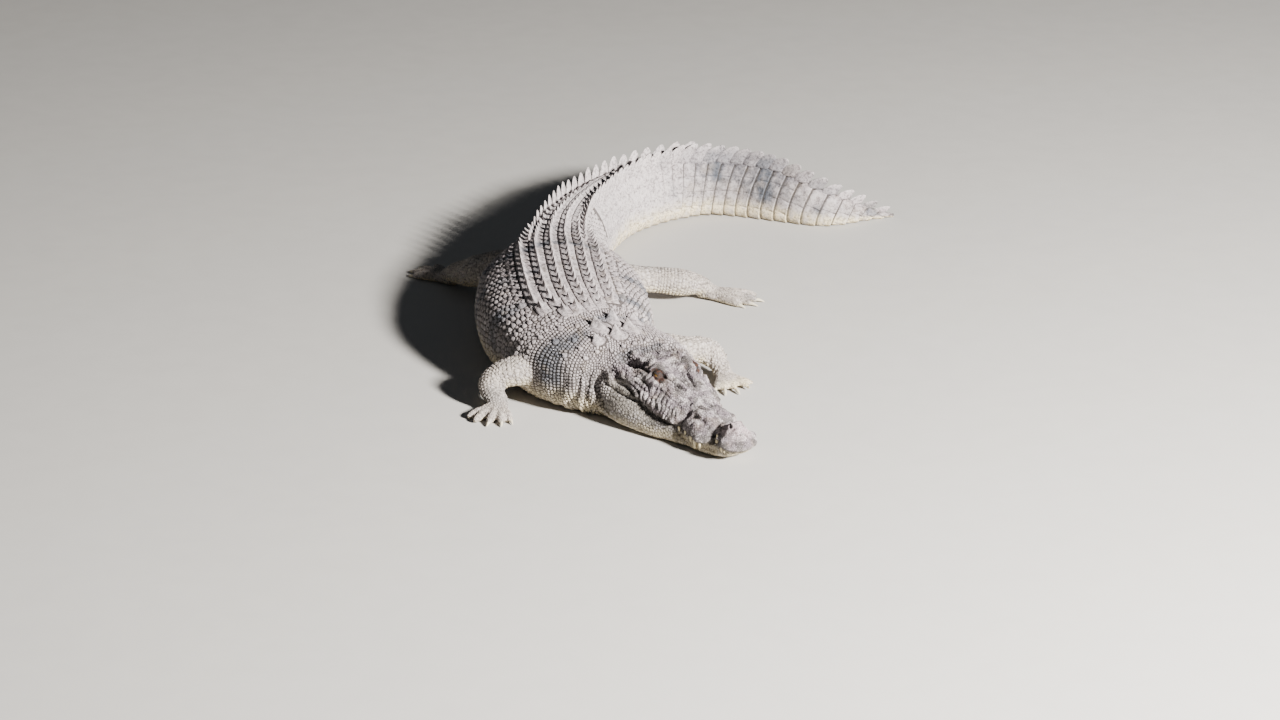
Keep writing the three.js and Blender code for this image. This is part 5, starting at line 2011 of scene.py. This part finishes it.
class CrocodileSizes(bpy.types.PropertyGroup):
    """Sizes of the skin's mesh and of the scales."""

    voxel: length_setting("Skin Mesh", "Edge length of the skin's mesh behind the head", 0.0065)
    scute_pitch: length_setting("Back Scutes", "Length of a row of the back's scutes", 0.058)
    keel: length_setting("Keels", "Height of the keels on the back's scutes", 0.021)
    flank_scale: length_setting("Flank Scales", "Width of the scales on the flanks", 0.0215)
    belly_scale: length_setting("Belly Scales", "Width of the square scales under the body", 0.034)
    neck_scale: length_setting("Neck Scales", "Width of the beads on the neck", 0.0115)
    head_scale: length_setting("Head Scales", "Width of the middling scales on the head", 0.012)
    leg_scale: length_setting("Leg Scales", "Width of the scales down the legs", 0.0175)
    foot_scale: length_setting("Foot Scales", "Width of the scales on the feet", 0.0092)
    groove: length_setting("Groove", "Half the width of the grooves between scales", 0.0011)
    lid_opening: FloatProperty(
        name="Lid Opening", description="How far the lids are parted, in eyeball radii",
        default=0.17, min=0.0, max=0.8,
    )


class CrocodileColours(bpy.types.PropertyGroup):
    """Colours of the hide, the eyes, the teeth and the claws."""

    back: colour_setting("Back", "Hide on the back and the crest", "968e90")
    flank: colour_setting("Flank", "Hide on the flanks", "918b8b")
    belly: colour_setting("Belly", "Hide on the belly, throat and under the tail", "d8cbab")
    band: colour_setting("Bands", "Uneven dark bands", "4c525c")
    brown: colour_setting("Spots", "Small brown spots", "7d6f5c")
    smudge: colour_setting("Smudges", "Olive grey smudges on the face and the jaws", "514f4b")
    leg: colour_setting("Legs", "Hide on the top of the legs", "a8a098")
    face: colour_setting("Face", "Hide on the top of the head", "776e74")
    jaw: colour_setting("Jaws", "Hide on the side of the jaws", "858079")
    nose: colour_setting("Nose", "Hide on the tip of the snout", "b9a8ab")
    # The eyelids' dark brown, darkened towards black as painted shade in the slit.
    lid: colour_setting("Eyelids", "Bare hide of the eyelids", "17100d")
    lid_warm: colour_setting("Eyelid Mottling", "Warm mottling of the eyelids", "4c2817")
    # Painted shade for the head's folds, the mouth line and the nostrils.
    crease: colour_setting("Creases", "Shaded folds of the head and the mouth", "1c1a1d")
    # Painted shade and dirt in the grooves between the scales and on the skin between them.
    groove: colour_setting("Grooves", "Dirt in the grooves between the scales", "2a2520")
    # Dust, also used as a painted highlight on the raised tops, the keels and the crest tips.
    dust_and_highlight: colour_setting("Dust", "Dried dust on the scales", "bdb6b7")
    iris: colour_setting("Iris", "Iris of the eyes", "5e451f")
    tooth: colour_setting("Teeth", "Teeth at the root", "c9bb97")
    claw: colour_setting("Claws", "Claws at the root", "c9c0aa")
    floor: colour_setting("Floor", "Studio floor", "aeaca9")


class CrocodileStage(bpy.types.PropertyGroup):
    """The camera and the lights."""

    lens: FloatProperty(name="Lens", description="Camera lens in millimetres", default=105.9, min=1.0)
    camera_place: place_setting("Camera", "Where the camera stands", (-1.560, -13.291, 5.017))
    camera_target: place_setting("Target", "Where the camera looks", (0.259, -0.3485, 0.0))
    key_place: place_setting("Key Light", "Where the key light stands", (5.6, -7.55, 4.6))
    key_power: power_setting("Key Power", "Power of the key light", 6900.0)
    fill_power: power_setting("Fill Power", "Power of the fill light", 12.0)
    sky: FloatProperty(name="Sky", description="Strength of the light from all round", default=0.06, min=0.0)


# ------------------------------------------------------------------ operators
FLOOR_REACH = 30.0
FLOOR_DROP = 0.001
FILL_PLACE = (-6.0, -7.5, 5.5)


class CROCODILE_OT_stage(bpy.types.Operator):
    """Sets the floor, the soft studio lights and the camera"""

    bl_idname = "crocodile.stage"
    bl_label = "Set the Stage"

    def aim(self, item, target):
        item.rotation_euler = (Vector(target) - item.location).to_track_quat("-Z", "Y").to_euler()

    def light(self, name, place, target, power, size, colour):
        lamp = bpy.data.lights.new(name, "AREA")
        lamp.energy = power
        lamp.size = size
        lamp.color = colour
        item = add_object(name, lamp)
        item.location = place
        self.aim(item, target)

    def execute(self, context):
        stage, colours = context.scene.crocodile_stage, context.scene.crocodile_colours
        reach = FLOOR_REACH
        square = ((-reach, -reach), (reach, -reach), (reach, reach), (-reach, reach))
        corners = [(x, y, -FLOOR_DROP) for x, y in square]
        floor = new_mesh("studio_floor", corners, [(0, 1, 2, 3)], smooth=False)
        floor.data.materials.append(floor_material("studio_floor", colours.floor))
        self.light("key_light", stage.key_place, (0.1, 0.1, 0.1), stage.key_power, 1.0, (1.0, 0.965, 0.91))
        self.light("fill_light", FILL_PLACE, (0, 0, 0.1), stage.fill_power, 5.0, (0.86, 0.92, 1.0))
        world = bpy.data.worlds.new("studio_air")
        world.use_nodes = True
        sky = world.node_tree.nodes["Background"]
        sky.inputs["Color"].default_value = (0.84, 0.91, 1.0, 1.0)
        sky.inputs["Strength"].default_value = stage.sky
        context.scene.world = world
        camera = add_object("camera", bpy.data.cameras.new("camera"))
        camera.data.lens = stage.lens
        camera.data.sensor_width = 36.0
        camera.location = stage.camera_place
        self.aim(camera, stage.camera_target)
        context.scene.camera = camera
        return {"FINISHED"}


class CROCODILE_OT_skin(bpy.types.Operator):
    """Makes the one skin over the head, body, tail and legs"""

    bl_idname = "crocodile.skin"
    bl_label = "Make the Skin"

    def execute(self, context):
        sizes, colours = context.scene.crocodile_sizes, context.scene.crocodile_colours
        piece = new_mesh("skin", *skin_shells())
        merge(piece, sizes.voxel)
        bare = shape_skin(piece, sizes.lid_opening)
        mesh = piece.data
        mesh.shade_smooth()
        co = positions(mesh)
        place = Place(co)
        # Low rise gives the skin between the scales painted groove shade and dirt; less of it on the legs,
        # near the head and on the bare lids.
        pale = np.where(place.region >= LEG, 0.85, 0.5 * smoothstep(-0.06, 0.0, place.head[:, 0]))
        rise = 0.12 + 0.42 * np.maximum(bare, pale)
        float_attribute(mesh, "rise", rise)
        float_attribute(mesh, "bare", bare)
        colour_attribute(mesh, "tint", hide_tint(colours, place))
        material = hide_material("hide_skin", colours)
        finish_piece(piece, material, "back_hide", *FLESH)
        return {"FINISHED"}


# How wide the grooves are for the scales of a part, beside those of the body.
FINE_GROOVES = {"head": 0.3, "jaw": 0.22, "foreleg": 0.3, "hindleg": 0.3}
SLOTS = {
    "neck": "neck_hide", "back": "back_hide", "flank": "back_hide", "belly": "back_hide",
    "tail": "tail_hide", "head": "head_hide", "jaw": "jaw_hide", "foreleg": "leg_hide",
    "hindleg": "leg_hide", "between": "back_hide",
}


class CROCODILE_OT_scales(bpy.types.Operator):
    """Covers the skin with scutes and scales"""

    bl_idname = "crocodile.scales"
    bl_label = "Grow the Scales"

    def execute(self, context):
        sizes, colours = context.scene.crocodile_sizes, context.scene.crocodile_colours
        skin = bpy.data.objects["skin"]
        bare = np.empty(len(skin.data.vertices), np.float32)
        skin.data.attributes["bare"].data.foreach_get("value", bare)
        roots = Roots(skin)
        grow_back(roots, sizes)
        grow_body(roots, sizes)
        grow_tail(roots, sizes)
        grow_limbs(roots, sizes)
        fill_bare_skin(roots, sizes, bare)
        roots.settle()
        roots.clear_creases()
        roots.along = unit(roots.along - roots.normal * (roots.along * roots.normal).sum(1)[:, None])
        near = neighbours(roots)
        rng = np.random.default_rng(31)
        tints = hide_tint(colours, Place(roots.spot))
        tints = tints * (0.9 + 0.2 * rng.random(len(tints)))[:, None]
        # Each hide gets its own share of painted groove shade and dirt.
        body = hide_material("hide_scales", colours)
        materials = {"head": hide_material("hide_face", colours, groove_shade_and_dirt=0.5)}
        materials["jaw"] = hide_material("hide_jaw", colours, groove_shade_and_dirt=0.2)
        materials["foreleg"] = hide_material("hide_legs", colours, groove_shade_and_dirt=0.22)
        materials["hindleg"] = materials["foreleg"]
        for index, name in enumerate(roots.names):
            if name == "room":
                continue
            groups = []
            tight = FINE_GROOVES.get(name.split("_")[1], 1.0)
            for detail in RINGS:
                chosen = np.nonzero((roots.piece == index) & (roots.detail == detail))[0]
                if len(chosen):
                    groups.append(make_tiles(roots, chosen, near, detail, sizes.groove * tight))
            if not groups:
                continue
            piece = tile_piece(name, groups, tints)
            part = name.split("_")[1]
            finish_piece(piece, materials.get(part, body), SLOTS[part])
        return {"FINISHED"}


class CROCODILE_OT_plates(bpy.types.Operator):
    """Lays the keeled shield on the back and the whorls round the tail"""

    bl_idname = "crocodile.plates"
    bl_label = "Lay the Plates"

    def execute(self, context):
        sizes, colours = context.scene.crocodile_sizes, context.scene.crocodile_colours
        roots = Roots(bpy.data.objects["skin"])
        shield, whorls = Plates(roots), Plates(roots)
        lay_nape(shield)
        lay_shield(shield, sizes)
        lay_saddle(shield, sizes)
        lay_whorls(whorls, sizes)
        # The last number of each material is its share of painted groove shade and dirt.
        material = hide_material("hide_shield", colours, 210.0, 0.2)
        finish_piece(shield.piece("scutes_back", colours), material, "back_hide")
        material = hide_material("hide_whorls", colours, 210.0, 0.95)
        finish_piece(whorls.piece("scutes_tail", colours), material, "tail_hide")
        return {"FINISHED"}


class CROCODILE_OT_crest(bpy.types.Operator):
    """Raises the two rows of flaps that close into one crest along the tail"""

    bl_idname = "crocodile.crest"
    bl_label = "Raise the Crest"

    def execute(self, context):
        colours = context.scene.crocodile_colours
        rng = np.random.default_rng(37)
        vertices, faces, rise, uv, spots = [], [], [], [], []
        for s in crest_stations():
            spread = float(crest_spread(s))
            single = s > CREST_MERGE - 0.03
            for side in ((1,) if single else (1, -1)):
                height = float(flap_height(s)) * (0.96 + 0.08 * rng.random())
                long = float(np.interp(s, (1.1, 1.5, 1.9, 2.6), (0.03, 0.042, 0.056, 0.07)))
                thick = float(np.interp(s, (1.1, 1.7, 2.6, 3.2), (0.02, 0.02, 0.017, 0.012)))
                rings = flap_rings(s, side, 0.0 if single else spread, height, long, thick)
                count = add_loft(vertices, faces, rings)
                size = len(rings[0])
                # A rise of 0.7 or more keeps the painted groove shade and dirt off the flaps.
                levels = np.maximum(np.linspace(0.0, 1.0, len(rings)) ** 0.4, 0.7)
                rise.extend([*np.repeat(levels, size), 0.0, 1.0])
                root = np.array([s / SPINE_LENGTH, 0.5 + 0.1 * side * (not single)])
                turns = circle(size)
                patch = np.stack([np.cos(turns), np.sin(turns)], 1) * PATCH
                for part in np.linspace(1, 0.2, len(rings)):
                    uv.extend(root + patch * part)
                uv.extend([root, root])
                spots.extend([rings[1].mean(0)] * count)
        piece = new_mesh("scutes_crest", vertices, faces)
        mesh = piece.data
        face_outwards(mesh)
        float_attribute(mesh, "rise", rise)
        tint = hide_tint(colours, Place(np.array(spots)))
        # Flaps paler towards their tips with the dust colour, partly a painted highlight.
        pale = smoothstep(0.55, 1.0, np.array(rise)) * 0.4
        colour_attribute(mesh, "tint", blend(tint, colours.dust_and_highlight, pale))
        bake_map(mesh, uv)
        finish_piece(piece, hide_material("hide_crest", colours, 190.0), "tail_hide")
        return {"FINISHED"}


class CROCODILE_OT_eyes(bpy.types.Operator):
    """Sets the two eyeballs between their lids"""

    bl_idname = "crocodile.eyes"
    bl_label = "Set the Eyes"

    def execute(self, context):
        colours = context.scene.crocodile_colours
        material = eye_material("eye_wet")
        for name, side in SIDES.items():
            piece = eyeball_mesh(f"eyeball_{name}", side, colours)
            finish_piece(piece, material, "eye", f"eye_{name}")
        return {"FINISHED"}


class CROCODILE_OT_teeth(bpy.types.Operator):
    """Sets the teeth that show along the closed mouth"""

    bl_idname = "crocodile.teeth"
    bl_label = "Set the Teeth"

    def execute(self, context):
        colours = context.scene.crocodile_colours
        many = []
        for side in SIDES.values():
            for spec in (*UPPER_TEETH, *SMALL_TEETH):
                inset = float(jaw_width(spec[0])) * UPPER_TOOTH_LINE
                many.append(tooth_rings(spec, side, inset, -1))
            for spec in LOWER_TEETH:
                inset = float(lower_jaw_width(spec[0])) * LOWER_TOOTH_LINE
                many.append(tooth_rings(spec, side, inset, 1))
        piece = loft_piece("teeth", many)
        tip = tuple(min(1.0, c * 1.2) for c in colours.tooth)
        finish_piece(piece, horn_material("tooth_ivory", colours.tooth, tip, 0.22), "tooth")
        return {"FINISHED"}


class CROCODILE_OT_claws(bpy.types.Operator):
    """Makes the horn claws of the inner digits"""

    bl_idname = "crocodile.claws"
    bl_label = "Make the Claws"

    def execute(self, context):
        colours = context.scene.crocodile_colours
        tip = tuple(c * 0.85 for c in colours.claw)
        material = horn_material("claw_horn", colours.claw, tip, 0.4)
        for name, limb in LIMBS.items():
            number = 0
            for root, direction, length, claw in digit_roots(limb):
                if claw == 0:
                    continue
                number += 1
                piece = loft_piece(f"horn_{name}_{number}", [claw_rings(root, direction, length, claw)])
                finish_piece(piece, material, "claw", f"{name}_claw_{number}")
        return {"FINISHED"}


class CROCODILE_PT_panel(bpy.types.Panel):
    """Lists the crocodile's pieces and their settings"""

    bl_idname = "CROCODILE_PT_panel"
    bl_label = "Saltwater Crocodile"
    bl_space_type = "VIEW_3D"
    bl_region_type = "UI"
    bl_category = "Crocodile"

    def draw(self, context):
        layout = self.layout
        for step in STEPS:
            layout.operator(f"crocodile.{step}")
        for group in SETTINGS:
            settings = getattr(context.scene, group)
            box = layout.box()
            for name in settings.bl_rna.properties.keys():
                if name not in ("rna_type", "name"):
                    box.prop(settings, name)


STEPS = ("stage", "skin", "scales", "plates", "crest", "eyes", "teeth", "claws")
SETTINGS = {
    "crocodile_sizes": CrocodileSizes,
    "crocodile_colours": CrocodileColours,
    "crocodile_stage": CrocodileStage,
}
CLASSES = (
    CrocodileSizes, CrocodileColours, CrocodileStage, CROCODILE_OT_stage, CROCODILE_OT_skin,
    CROCODILE_OT_scales, CROCODILE_OT_plates, CROCODILE_OT_crest, CROCODILE_OT_eyes, CROCODILE_OT_teeth,
    CROCODILE_OT_claws, CROCODILE_PT_panel,
)


def register():
    for item in CLASSES:
        bpy.utils.register_class(item)
    for name, group in SETTINGS.items():
        setattr(bpy.types.Scene, name, PointerProperty(type=group))


def unregister():
    for name in SETTINGS:
        delattr(bpy.types.Scene, name)
    for item in reversed(CLASSES):
        bpy.utils.unregister_class(item)


def main():
    register()
    for step in STEPS:
        getattr(bpy.ops.crocodile, step)()


if __name__ == "__main__":
    main()
